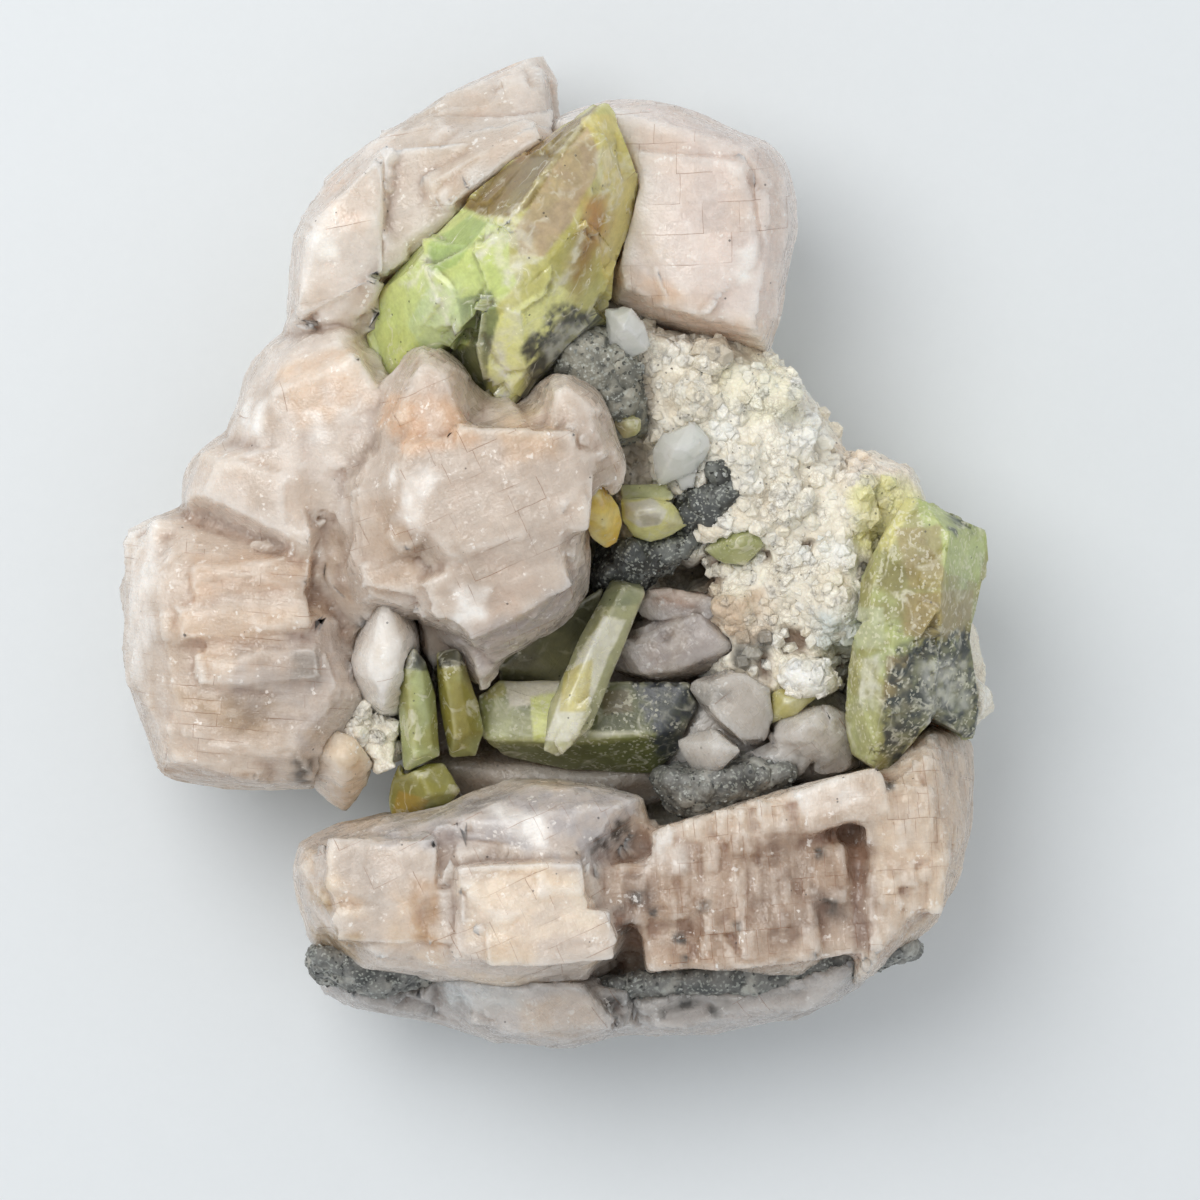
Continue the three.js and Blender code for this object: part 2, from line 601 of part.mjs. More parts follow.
const baseFront = [
  // the main block of the foot of the specimen
  boulder(
    [
      [29.9, 85.2], [32.4, 83.2], [38, 81.4], [44, 80.6], [50, 80], [57, 81], [61.6, 84],
      [63, 88], [62.4, 94.6], [60, 98.4], [52, 98.8], [44, 97.6], [36.4, 97], [31.2, 94.4],
      [29.9, 89.4],
    ],
    { top: 33.4, belly: 19, round: 2.8, foot: 3.6, slope: [0.05, 0.03] },
  ),
  // the smooth grey back that falls towards the hollow
  boulder(
    [
      [42.4, 82.4], [47.4, 79], [53, 77.8], [59, 78.3], [64.2, 79.8], [65, 83], [58, 88],
      [45, 87],
    ],
    { top: 34.6, belly: 26, base: 10, round: 3.2, foot: 1, slope: [0, 0.24] },
  ),
  // the brightest block, with squared sides
  boulder(
    [
      [44.8, 86.4], [50.6, 84], [57, 84.4], [60.6, 88], [61, 93], [58.6, 98], [44.8, 96],
    ],
    { top: 36.6, belly: 27, round: 1.6, foot: 1, slope: [0.02, 0.02] },
  ),
  ...mosaic({
    middle: [38, 88.6], columns: 2, rows: 2, long: 5, wide: 4.6, turn: 3, lean: [0.06, 0],
    height: (x, y) => 34.2 + 0.08 * (x - 32) - 0.03 * (y - 88) ** 2, step: 0.9, seed: 41,
  }),
  ...mosaic({
    middle: [52.4, 91], columns: 2, rows: 2, long: 6, wide: 4.6, turn: -2,
    height: (x, y) => 37.6 - 0.03 * (y - 91) ** 2, step: 0.8, seed: 42,
  }),
];

const baseRight = [
  boulder(
    [
      [59.6, 87], [66, 83], [74, 79.6], [88.6, 76.6], [90, 86], [88.4, 95.6], [80, 98],
      [61.4, 99.6],
    ],
    { top: 30.6, belly: 19, round: 2.4, foot: 3, slope: [0, 0.02] },
  ),
  boulder(
    [
      [85, 78], [89.6, 75], [93, 72.4], [97.2, 74.2], [96.8, 82], [95.6, 88], [93.4, 92.2],
      [91.4, 94.4], [85.4, 98.4], [84, 92],
    ],
    { top: 31.6, belly: 18, round: 3.2, foot: 3.6, slope: [-0.15, 0.04] },
  ),
  // a lip of pale blocks along its upper edge
  ...mosaic({
    middle: [76.4, 82], columns: 3, rows: 1, long: 7.2, wide: 4, deep: 6,
    turn: -16, lean: [0, 0.08],
    height: (x) => 32 + 0.04 * (x - 66), step: 1.4, seed: 51,
  }),
  // worn columns on its broken face
  ...mosaic({
    middle: [73, 90.6], columns: 4, rows: 2, long: 5.8, wide: 5.2, deep: 6,
    turn: -6, lean: [0.03, 0.05],
    height: (x, y) => 31.8 - 0.08 * (y - 88), step: 2, seed: 56,
  }),
  // pale blocks on its right shoulder
  ...mosaic({
    middle: [89.8, 84.6], columns: 1, rows: 2, long: 5.4, wide: 6, deep: 6,
    turn: 6, lean: [-0.18, 0.02],
    height: (x, y) => 32.4 - 0.25 * (x - 89) - 0.1 * Math.max(0, y - 86), step: 0.8, seed: 53,
  }),
];

const lowerRim = [
  boulder(
    [
      [31.6, 96], [38, 96.4], [46, 95.4], [47, 102.6], [43.5, 102.3], [39.5, 101.6],
      [35, 100.6], [32.3, 99.2],
    ],
    { top: 22, belly: 14, round: 2, foot: 3, slope: [0.1, -0.4] },
  ),
  boulder(
    [
      [43, 96], [52, 97], [60, 97], [64.4, 99], [64, 102.6], [60, 103.8], [57, 104.6],
      [54, 104.4], [48.5, 103.6], [43.5, 102.4],
    ],
    { top: 28, belly: 16, round: 2.4, foot: 4, slope: [0.05, -0.5] },
  ),
  boulder(
    [
      [60, 98], [72, 97.4], [88, 95], [86.4, 98], [83, 100.2], [79.5, 101.5], [75.5, 102.4],
      [71.5, 103.1], [64, 103], [60.6, 103.6],
    ],
    { top: 25, belly: 15, round: 2.2, foot: 4, slope: [0.02, -0.5] },
  ),
  ...mosaic({
    middle: [55.6, 100.4], columns: 2, rows: 1, long: 8, wide: 2.8, turn: -1, lean: [0, -0.5],
    height: (x) => 27 - 0.1 * Math.abs(x - 54), step: 1, seed: 61,
  }),
];

const upperLeft = [
  // the long ridge
  boulder(
    [
      [32.8, 17.8], [36, 15], [40.5, 12.3], [44.5, 10.4], [56, 13], [56, 19], [52, 23],
      [43, 31], [40, 34.4], [34.6, 35.4], [28.9, 33.6], [29, 29.8], [29.8, 27], [29.8, 24],
      [30.6, 21.4], [32.2, 19.2],
    ],
    { top: 30.4, belly: 17, round: 3, foot: 5, dome: 1, slope: [0.02, 0.05] },
  ),
  // its paler left face, which ends in a straight edge
  boulder(
    [
      [30, 22.4], [33.2, 18.4], [38.8, 15], [40, 21], [39.6, 29.6], [34.6, 33.2],
      [29.2, 32.8], [29.4, 27.4],
    ],
    { top: 32.4, belly: 20, round: 2, foot: 3, dome: 0.3, slope: [0.12, 0] },
  ),
  // the blade that ends it
  boulder(
    [
      [49.6, 7.2], [51, 6.2], [52.8, 5.8], [54.8, 6.5], [55.4, 8.5], [56, 11.8], [56, 16],
      [50, 19], [43, 18], [39, 14.8], [40.5, 12.3], [42.8, 11.6], [45.8, 9.8], [48.7, 8.2],
    ],
    { top: 23.6, belly: 14, round: 2.2, foot: 4, slope: [-0.1, 0.45] },
  ),
  // the rough ledge behind the large titanite
  boulder(
    [
      [42, 19], [47, 15.5], [53, 12.6], [58, 12.4], [57, 18], [50, 23], [45, 27],
      [41.5, 28.6], [40.4, 23],
    ],
    { top: 31.4, belly: 22, round: 1.2, foot: 2, slope: [0, 0.06] },
  ),
  block([46.4, 18.6, 32.8], [6.4, 2.6, 5], -40, [0, 0.15]),
  block([51.4, 15.2, 32.4], [5.4, 2.4, 5], -32, [0.05, 0.2]),
];

const leftShoulder = [
  boulder(
    [
      [26.8, 34.8], [29, 32.6], [34, 31.4], [41, 31.4], [42.6, 41], [41, 52], [38, 58],
      [31, 56], [22.6, 43.6], [25.1, 37.2],
    ],
    { top: 32.8, belly: 18, round: 3, foot: 4.6, dome: 1, slope: [0.1, 0.02] },
  ),
  // the smooth lobe that laps over the crystal below
  boulder(
    [
      [20.3, 45], [24, 42.6], [31, 43], [34, 49], [33, 56.4], [26.5, 56], [18.5, 50],
      [18.6, 47.4],
    ],
    { top: 33, belly: 20, round: 2.6, foot: 4, dome: 0.7, slope: [0.2, 0] },
  ),
  // its clear brownish lower end
  boulder([[32, 51], [38, 50], [42, 54], [41.6, 62], [38.4, 65], [33.4, 63.6], [31.4, 58]], {
    top: 31, belly: 22, round: 2, foot: 2, slope: [0.12, -0.05],
  }),
  ...mosaic({
    middle: [33, 42], columns: 1, rows: 2, long: 9, wide: 4.4, turn: -24, lean: [0.1, 0],
    height: (x) => 33.6 + 0.1 * (x - 32), step: 0.8, seed: 81,
  }),
];

const leftLobe = [
  boulder(
    [
      [13, 54.4], [14.5, 52.1], [18, 50.8], [24, 50.4], [32, 53], [37, 58], [38, 70],
      [35.6, 74], [32.2, 78.9], [22.5, 78.6], [18, 78.1], [15.7, 76.4], [13.6, 70.2],
      [12.7, 65], [12.6, 58.4],
    ],
    { top: 31.4, belly: 17, round: 4.6, foot: 4.6, dome: 0.8, slope: [0.04, 0.02] },
  ),
  // the worn pad at its lower end
  boulder([[15.2, 71.6], [20, 69], [26, 71.6], [28, 76], [27.6, 78.8], [18, 78], [16, 76.4]], {
    top: 30.4, belly: 18, round: 2, foot: 3, dome: 0.5, slope: [0.12, -0.15],
  }),
  // growth layers stacked along its left edge
  block([14.2, 61, 24], [15, 2.4, 11], 90),
  block([16.4, 61.4, 28], [18.4, 2.4, 12], 91),
  // straight ribs across its face
  block([25.4, 57.6, 32.8], [11, 2.4, 5], -6, [0.02, 0.1]),
  block([24.8, 61.8, 33.2], [12.4, 2.6, 5], -5, [0.02, 0.1]),
  block([26.4, 66.4, 33.2], [11, 2.8, 5], -3, [0.02, 0.12]),
];

const upperRight = [
  boulder(
    [
      [55.4, 12.6], [58, 11], [60.5, 10.4], [62.5, 10], [65.5, 10.6], [68.5, 11.2],
      [70.5, 12.6], [73.5, 13.4], [76.5, 14.2], [78.1, 15.6], [79, 17.6], [79.6, 20],
      [79.6, 22], [78.6, 26.2], [77.8, 29.5], [77, 33], [76.6, 35.6], [70, 34.4], [62, 31.4],
      [56, 26], [55, 18],
    ],
    { top: 31.4, belly: 18, round: 3, foot: 4.4, dome: 1, slope: [-0.03, 0.03] },
  ),
  // its flat front, cracked along the cleavage
  boulder(
    [[60, 15], [68, 13.6], [74.6, 16], [77.2, 20], [76.6, 26], [75.4, 33.6], [69, 33], [60, 29]],
    { top: 33.2, belly: 26, base: 10, round: 1.4, foot: 1, dome: 0.3, slope: [-0.06, 0.02] },
  ),
];

// Albite: a sugary white mass that holds the crystals together and forms the underside

const albiteClump = [
  boulder([[35.2, 69.6], [37.6, 70], [40.6, 72.4], [40.8, 75.2], [38, 77], [34.6, 74.2]], {
    top: 25.6, belly: 21, base: 15, round: 1.2, foot: 0.6,
  }),
  ...grainsAlong([[35.8, 70.6, 25.6], [36.4, 74, 26], [39.4, 75.2, 25]], {
    count: 4, spread: 1.8, radius: GRAIN * 0.85, seed: 16,
  }),
];

const UNDER = { top: FOOT_HEIGHT - 2.5 * CONTACT_GAP, belly: 6.6 };
const albiteMatrix = [
  // the underside, in three lumps that are cut off flat
  boulder(
    [
      [34, 21], [46, 15], [58, 14], [71, 15], [75, 21], [79, 46], [80, 60],
      [50, 62], [31, 48], [28.4, 38],
    ],
    { top: UNDER.top, belly: UNDER.belly, base: 0, round: 1, foot: 6, dome: 0 },
  ),
  boulder([[18, 55], [24, 49], [40, 44], [52, 50], [54, 66], [44, 74], [24, 75], [16, 66]], {
    top: UNDER.top, belly: UNDER.belly, base: 0, round: 1, foot: 5, dome: 0,
  }),
  boulder(
    [
      [34, 86], [42, 78], [60, 60], [84, 58], [92, 66], [94, 78], [90, 89], [80, 96],
      [60, 99], [35, 94],
    ],
    { top: UNDER.top, belly: UNDER.belly, base: 0, round: 1, foot: 6, dome: 0 },
  ),
  // the sugary face
  boulder(
    [
      [59.6, 30.4], [66, 29.4], [76.6, 34.6], [80.4, 38.8], [83.8, 43.6], [86.8, 51],
      [87.6, 60], [85.6, 69], [76, 71], [67, 66], [61, 54],
    ],
    { top: 25, belly: 17, base: 6, round: 1.4, foot: 3 },
  ),
  boulder(
    [
      [61, 32.6], [66, 30.8], [76.6, 36.4], [80.4, 44], [80.8, 53], [77, 58], [70, 55],
      [61, 41],
    ],
    { top: 28.6, belly: 22, base: 14, round: 1.4, foot: 1 },
  ),
  boulder([[76, 42], [81, 42.4], [84.6, 48], [86.4, 56], [85.6, 64], [80, 66], [77, 60]], {
    top: 26.6, belly: 20, base: 14, round: 1.4, foot: 1,
  }),
  // the pinkish edge, and the part that carries the right titanite
  boulder([[83.2, 46.6], [84.6, 45.2], [88, 45.4], [89.7, 46.8], [91.4, 52], [86, 54]], {
    top: 25, belly: 18, round: 1.2, foot: 1,
  }),
  boulder(
    [
      [84, 52], [90, 50.4], [95, 54], [96.2, 60], [97.4, 66], [98.6, 69.6], [95.6, 75],
      [84, 76],
    ],
    { top: 19, belly: 13, base: 6, round: 1.4, foot: 4 },
  ),
  boulder([[95.4, 66.4], [97.4, 67.2], [98.8, 69.2], [98.9, 70.8], [97.6, 72.2], [95, 72.6]], {
    top: 22, belly: 18, base: 10, round: 1, foot: 0.6,
  }),
  // a squared white block at its lower end
  [
    [78.2, 66.4, 27.4], [82.8, 65.6, 27.4], [83.6, 68.4, 26.4], [80.6, 69.8, 26.4],
    [78, 68.8, 26.8], [80.8, 67.4, 28.6], [79, 67, 20], [82.6, 66.6, 20], [80.8, 69, 20],
  ],
  // coarse grains of it on the surface
  ...grainsAlong(
    [
      [62.4, 32.6, 28], [69, 34, 29], [75, 37.4, 28.6], [79, 43, 27], [83, 48.6, 26],
      [84.6, 54, 25.6],
    ],
    { count: 5, spread: 2.4, radius: GRAIN * 1.2, seed: 17 },
  ),
  ...grainsAlong(
    [
      [66, 38, 29.4], [71, 40, 29.6], [74, 46, 29.2], [79, 50, 28.4], [81, 58, 27.2],
      [82, 64, 26.4],
    ],
    { count: 4, spread: 4.4, radius: GRAIN * 1.5, seed: 18 },
  ),
  ...grainsAlong([[76, 58, 27], [74.6, 63, 24.6], [78, 66.6, 25], [83, 66.8, 25]], {
    count: 2, spread: 3, radius: GRAIN * 1.1, seed: 19,
  }),
];

// Finishes, as colour and roughness
const FINISHES = {
  titanite: { color: 0xa9b45c, roughness: 0.22 },
  honey: { color: 0xc89a35, roughness: 0.2 },
  quartz: { color: 0xdfe2dd, roughness: 0.15 },
  chlorite: { color: 0x575c5a, roughness: 0.75 },
  adularia: { color: 0xe0cfc3, roughness: 0.45 },
  grey_adularia: { color: 0xb9b3ad, roughness: 0.4 },
  albite: { color: 0xe6e0d2, roughness: 0.8 },
};

// Each crystal is cut back where one named before it grows through it
const CRYSTALS = [
  ["titanite_cross_blade", "titanite", crossBlade],
  ["titanite_long_blade", "titanite", longBlade],
  ["titanite_dark_plate", "titanite", darkPlate],
  ["titanite_left_prism", "titanite", leftPrism],
  ["titanite_second_prism", "titanite", secondPrism],
  ["titanite_lower", "titanite", lowerTitanite],
  ["titanite_honey", "honey", honeyTitanite],
  ["titanite_yellow", "titanite", yellowTitanite],
  ["titanite_vein", "titanite", veinTitanite],
  ["titanite_wedge", "titanite", wedgeTitanite],
  ["titanite_bead", "titanite", beadTitanite],
  ["titanite_main", "titanite", mainTitanite],
  ["titanite_right", "titanite", rightTitanite],
  ["quartz_chip", "quartz", quartzChip],
  ["quartz_chip_upper", "quartz", upperQuartzChip],
  ["adularia_small_wedge", "adularia", smallWedge],
  ["adularia_drop", "adularia", adulariaDrop],
  ["adularia_centre", "adularia", adulariaCentre],
  ["chlorite_pocket", "chlorite", chloritePocket],
  ["chlorite_vein", "chlorite", chloriteVein],
  ["chlorite_ledge", "chlorite", chloriteLedge],
  ["chlorite_seam_left", "chlorite", leftSeam],
  ["chlorite_seam_right", "chlorite", rightSeam],
  ["albite_clump", "albite", albiteClump],
  ["adularia_grey_cluster", "grey_adularia", greyCluster],
  ["adularia_base_front", "adularia", baseFront],
  ["adularia_base_right", "adularia", baseRight],
  ["adularia_lower_rim", "grey_adularia", lowerRim],
  ["adularia_upper_right", "adularia", upperRight],
  ["adularia_upper_left", "adularia", upperLeft],
  ["adularia_left_shoulder", "adularia", leftShoulder],
  ["adularia_left_lobe", "adularia", leftLobe],
  ["adularia_hollow_floor", "grey_adularia", hollowFloor],
  ["albite_matrix", "albite", albiteMatrix],
];

function meshOf(name, finish, solid) {
  const material = new THREE.MeshStandardMaterial({ ...FINISHES[finish], metalness: 0 });
  const mesh = new THREE.Mesh(toGeometry(solid), material);
  mesh.name = name;
  return mesh;
}

const specimen = new THREE.Group();
const grownBefore = [];
for (const [name, finish, lumps] of CRYSTALS) {
  const whole = union(lumps.map(hull));
  const reach = whole.boundingBox();
  const touches = ({ box }) =>
    [0, 1, 2].every((k) => box.min[k] < reach.max[k] && box.max[k] > reach.min[k]);
  const cut = grownBefore
    .filter(touches)
    .reduce((left, other) => left.subtract(other.clearance), whole);
  specimen.add(meshOf(name, finish, largestBody(cut)));
  const clearance = union(lumps.map(enlargedHull));
  grownBefore.push({ clearance, box: clearance.boundingBox() });
}

// The origin is under the middle of the specimen, on the surface it lies on
const extent = new THREE.Box3().setFromObject(specimen);
const middle = extent.getCenter(new THREE.Vector3());
specimen.position.set(-middle.x, -middle.y, -extent.min.z);

export default specimen;
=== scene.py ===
# %% [markdown]
# # A titanite specimen in Blender
#
# The object is one natural mineral specimen, about ten centimetres long: green titanite crystals on
# blocky pinkish-white adularia feldspar, with sugary white albite, dark chlorite and two clear quartz
# chips. It lies on its back, so the camera looks straight down on it.
#
# The solids of the specimen come ready-made, with flat facets. This lesson gives each of them the
# surface that it has in nature, and then its colours, gloss and cracks.

# %% Load the solids
import bmesh
import bpy
import itertools
import math
import numpy as np
from mathutils import Euler, Matrix, Vector
from mathutils.bvhtree import BVHTree


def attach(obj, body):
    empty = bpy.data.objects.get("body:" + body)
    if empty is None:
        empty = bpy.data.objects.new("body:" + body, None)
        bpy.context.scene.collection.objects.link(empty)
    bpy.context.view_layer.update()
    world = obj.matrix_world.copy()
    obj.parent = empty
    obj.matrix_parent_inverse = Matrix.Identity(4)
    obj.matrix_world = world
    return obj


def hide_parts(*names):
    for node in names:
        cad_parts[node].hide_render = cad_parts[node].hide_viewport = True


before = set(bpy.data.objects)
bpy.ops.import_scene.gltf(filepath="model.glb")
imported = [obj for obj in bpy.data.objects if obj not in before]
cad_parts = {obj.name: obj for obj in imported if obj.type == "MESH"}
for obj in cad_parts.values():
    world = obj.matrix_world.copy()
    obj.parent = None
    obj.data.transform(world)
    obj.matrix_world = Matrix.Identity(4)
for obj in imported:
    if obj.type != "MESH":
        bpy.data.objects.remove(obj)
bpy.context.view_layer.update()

# %% [markdown]
# ## Millimetres and the plan
#
# Blender works in metres, but a crystal is easier to describe in millimetres, so all shaping below
# is done in millimetres and scaled at the very end. Places on the specimen are given on a plan, as a
# collector would sketch it: x runs to the right and y runs down the face that is looked at.

# %% Millimetres, the plan and colours
MM = 0.001
PLAN_MIDDLE = (55.75, 55.2)  # the plan's point above the origin


def on_plan(points):
    """The plan's x and y of points that are given in the specimen's own frame, in millimetres"""
    return np.stack([points[:, 0] + PLAN_MIDDLE[0], PLAN_MIDDLE[1] - points[:, 1]], axis=1)


def paint(code):
    """A colour such as "DCCFC6" as the linear numbers that a shader works with"""
    parts = [int(code[i:i + 2], 16) / 255 for i in (0, 2, 4)]
    return np.array([c / 12.92 if c <= 0.04045 else ((c + 0.055) / 1.055) ** 2.4 for c in parts])


print("adularia white in linear numbers:", paint("DCCFC6").round(3))

# %% [markdown]
# ## Noise
#
# Natural surfaces vary at every size. Blender's texture nodes can only colour a surface, and the
# shape has to move too, so the same kinds of noise are written here for whole lists of points: a
# random number for each cell of space, a smooth noise between the cells, and a pattern of pebbles.

# %% Random numbers in space
PRIMES = (73856093, 19349663, 83492791)  # they part the numbers of neighbouring cells
STIRS = (2246822519, 3266489917)
LOW_32_BITS, LOW_24_BITS = 0xFFFFFFFF, 0xFFFFFF


def cell_number(cells, seed):
    """A number from 0 to 1 that is always the same for the same whole-numbered cell"""
    x, y, z = (cells[:, k].astype(np.int64) for k in range(3))
    stirred = (x * PRIMES[0]) ^ (y * PRIMES[1]) ^ (z * PRIMES[2]) ^ (seed * 40503 + 977)
    stirred = (stirred & LOW_32_BITS) * STIRS[0] & LOW_32_BITS
    stirred = (stirred ^ (stirred >> 15)) * STIRS[1] & LOW_32_BITS
    stirred = stirred ^ (stirred >> 13)
    return (stirred & LOW_24_BITS) / LOW_24_BITS


print("the numbers of two neighbouring cells:", cell_number(np.array([[1, 2, 3], [1, 2, 4]]), 5).round(2))


# %% Smooth noise
def noise(points, size, seed):
    """Smooth noise from -1 to 1 that changes over about `size` millimetres"""
    scaled = points / size
    cells = np.floor(scaled)
    part = scaled - cells
    part = part * part * (3 - 2 * part)
    total = np.zeros(len(points))
    for corner in itertools.product((0, 1), repeat=3):
        weight = np.prod(np.where(corner, part, 1 - part), axis=1)
        total += weight * cell_number(cells + corner, seed)
    return 2 * total - 1


def rough_noise(points, size, seed, octaves=3):
    """Noise with finer noise on top of it, still about -1 to 1"""
    total = sum(noise(points, size / 2 ** k, seed + k) / 2 ** k for k in range(octaves))
    return total / (2 - 2 / 2 ** octaves)


def ease(values, low, high):
    """0 below `low`, 1 above `high` and a smooth step between them"""
    part = np.clip((values - low) / (high - low), 0, 1)
    return part * part * (3 - 2 * part)


sample = np.random.default_rng(1).uniform(-40, 40, (2000, 3))
print("noise runs from", noise(sample, 5, 1).min().round(2), "to", noise(sample, 5, 1).max().round(2))

# %% Cells and pebbles
GRAIN_REACH = 0.85  # how far a pebble reaches from its middle, as a share of its cell


def random_cells(points, size, seed):
    """Space parted around random points: how far each place's own point lies, and its cell"""
    scaled = points / size
    cells = np.floor(scaled)
    nearest, own = np.full(len(points), np.inf), cells
    for step in itertools.product((-1, 0, 1), repeat=3):
        cell = cells + step
        centre = cell + np.stack([cell_number(cell, seed + k) for k in range(3)], axis=1)
        far = np.linalg.norm(scaled - centre, axis=1)
        own = np.where((far < nearest)[:, None], cell, own)
        nearest = np.minimum(nearest, far)
    return nearest, own


def pebbles(points, size, seed):
    """How high a point is on the grain that it belongs to, from 0 at its foot to 1 on its top"""
    nearest, _ = random_cells(points, size, seed)
    return np.sqrt(np.clip(1 - (nearest / GRAIN_REACH) ** 2, 0, 1))


rises = pebbles(sample, 1.6, 1)
print("pebbles rise from", rises.min().round(2), "to", rises.max().round(2))

# %% [markdown]
# ## Patches
#
# A stain, a coating or a clear window in a crystal has an outline of its own. It is drawn as a few
# points on the plan, and its edge is softened and made to wander, so that it looks grown and not cut.

# %% Patches on the plan
def within(places, outline, soft):
    """1 well inside an outline on the plan, 0 well outside, and an edge `soft` millimetres wide"""
    corners = np.array(outline, float)
    nearest = np.full(len(places), np.inf)
    inside = np.zeros(len(places), bool)
    for (ax, ay), (bx, by) in zip(corners, np.roll(corners, -1, axis=0)):
        px, py = places[:, 0] - ax, places[:, 1] - ay
        ex, ey = bx - ax, by - ay
        along = np.clip((px * ex + py * ey) / (ex * ex + ey * ey), 0, 1)
        nearest = np.minimum(nearest, np.hypot(px - along * ex, py - along * ey))
        crosses = (ay > places[:, 1]) != (by > places[:, 1])
        inside ^= crosses & (px < ex * py / (ey or 1e-9))  # a level side is never crossed
    return ease(np.where(inside, nearest, -nearest), -soft, soft)


def wandering(points, by, size, seed):
    """Places on the plan, each moved by up to `by` millimetres"""
    moves = np.stack([rough_noise(points, size, seed), rough_noise(points, size, seed + 7)], axis=1)
    return on_plan(points) + by * moves


two_places = np.array([[2.0, 2.0], [9.0, 9.0]])
print("a place inside a patch and one outside:", within(two_places, [(0, 0), (4, 0), (4, 4), (0, 4)], 0.7))

# %% [markdown]
# ## From a facetted solid to a fine skin
#
# Each crystal starts as a copy of its solid. A voxel remesh gives it an even skin of small squares
# whatever its facets were, fine enough for cracks and grains, and a round or two of smoothing wears
# its edges. Sculpting by hand would look as good, but would come out differently every time.
#
# Feldspar crystals that have grown into each other share one skin. It is blown up until the joints
# between them shut, remeshed, and shrunk back by the same amount, so only shallow valleys stay.

# %% Make a skin
def in_the_scene(name, data):
    """A new object with this mesh, lamp or camera, put into the scene"""
    thing = bpy.data.objects.new(name, data)
    bpy.context.scene.collection.objects.link(thing)
    return thing


def solids_together(nodes, name):
    """One object with copies of the solids of these nodes, in millimetres"""
    joined = bmesh.new()
    for node in nodes:
        joined.from_mesh(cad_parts[node].data)
    mesh = bpy.data.meshes.new(name)
    joined.to_mesh(mesh)
    joined.free()
    mesh.transform(Matrix.Scale(1 / MM, 4))
    return in_the_scene(name, mesh)


def skin_of(nodes, name, voxel, rounds, closing=0.0):
    """A new object with a fine skin, in millimetres, on the solids of those nodes"""
    piece = solids_together(nodes, name)

    def step(kind, **settings):
        modifier = piece.modifiers.new(kind.title(), kind)
        for key, value in settings.items():
            setattr(modifier, key, value)

    step("REMESH", mode="VOXEL", voxel_size=voxel)
    if closing:
        step("DISPLACE", strength=closing, mid_level=0)
        step("REMESH", mode="VOXEL", voxel_size=voxel)
        step("SMOOTH", factor=0.5, iterations=2)
        step("DISPLACE", strength=-closing, mid_level=0)
    if rounds:
        step("SMOOTH", factor=0.5, iterations=rounds)
    solids = piece.data
    depsgraph = bpy.context.evaluated_depsgraph_get()
    piece.data = bpy.data.meshes.new_from_object(piece.evaluated_get(depsgraph))
    piece.modifiers.clear()
    bpy.data.meshes.remove(solids)
    return piece


print("facets of the largest titanite before it gets its skin:",
      len(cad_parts["titanite_main"].data.polygons))

# %% [markdown]
# ## Moving a skin's corners
#
# The corners of a mesh are read into one table, moved all at once and written back. `hollowness`
# compares each corner with the middle of its neighbours: a corner that lies below them is in a
# hollow, which is painted darker as shade together with dirt and rust, and one that lies above them is
# on an edge, which is painted paler as a highlight together with wear.

# %% Read and move corners
def read(mesh, key):
    """The corners' places or normals as a table with three columns"""
    flat = np.empty(len(mesh.vertices) * 3, np.float32)
    mesh.vertices.foreach_get(key, flat)
    return flat.reshape(-1, 3).astype(float)


def write(mesh, points):
    """Moves the corners to these places"""
    mesh.vertices.foreach_set("co", points.astype(np.float32).ravel())
    mesh.update()


def links_of(mesh):
    """The two ends of each edge"""
    ends = np.empty(len(mesh.edges) * 2, np.int32)
    mesh.edges.foreach_get("vertices", ends)
    return ends.reshape(-1, 2)


def neighbours_mean(values, links):
    """For each corner, the mean of a value over its neighbours"""
    a, b = links.T
    count = len(values)
    shared = np.bincount(a, minlength=count) + np.bincount(b, minlength=count)
    columns = values.reshape(count, -1).T
    total = [np.bincount(a, v[b], count) + np.bincount(b, v[a], count) for v in columns]
    return (np.array(total) / np.maximum(shared, 1)).T.reshape(values.shape)


def hollowness(mesh, rounds):
    """How many millimetres each corner lies below the skin around it"""
    points, links = read(mesh, "co"), links_of(mesh)
    around = points
    for _ in range(rounds):
        around = neighbours_mean(around, links)
    depth = ((around - points) * read(mesh, "normal")).sum(axis=1)
    return neighbours_mean(depth, links)


def skin_and_corners(nodes, name, voxel, rounds, closing=0.0):
    """A new skin, its mesh, and the places and normals of its corners"""
    piece = skin_of(nodes, name, voxel, rounds, closing)
    return piece, piece.data, read(piece.data, "co"), read(piece.data, "normal")


print("corners of a quartz chip's solid:", len(read(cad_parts["quartz_chip"].data, "co")))

# %% [markdown]
# ## Which crystal a place belongs to
#
# On a skin that several crystals share, each place should break and take colour like the crystal that
# it belongs to. A mask could be painted for each crystal, but Blender's own search tree can say how
# far each place lies from each crystal's solid, and the nearest one owns it.

# %% Which crystal a place belongs to
def distances_to(nodes, points):
    """How many millimetres each place lies from each node's solid, as a table with a column a node"""
    columns = []
    for node in nodes:
        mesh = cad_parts[node].data
        tree = BVHTree.FromPolygons([v.co / MM for v in mesh.vertices], [f.vertices for f in mesh.polygons])
        columns.append([tree.find_nearest(Vector(point))[3] for point in points])
    return np.array(columns).T


middle = distances_to(["adularia_centre", "titanite_main"], [(0, 0, 0)]).round(1)
print("from the origin to the central feldspar and to the largest titanite:", middle, "mm")

# %% [markdown]
# ## How feldspar breaks
#
# Adularia splits along three sets of planes. On a worn crystal this leaves bricks that stand a
# fraction of a millimetre proud of each other and lean a little. Larger pieces break off in flat
# facets. Bricks are cut in the crystal's own directions, so that one crystal's steps line up and its
# neighbour's run another way. Facets come from parting the surface into random cells and pressing
# each cell flat, onto the plane that fits its corners best.

# %% Bricks and facets
def directions(turn):
    """The crystal's three directions as the columns of a table, from its turn in degrees"""
    return np.array(Euler([math.radians(a) for a in turn]).to_matrix())


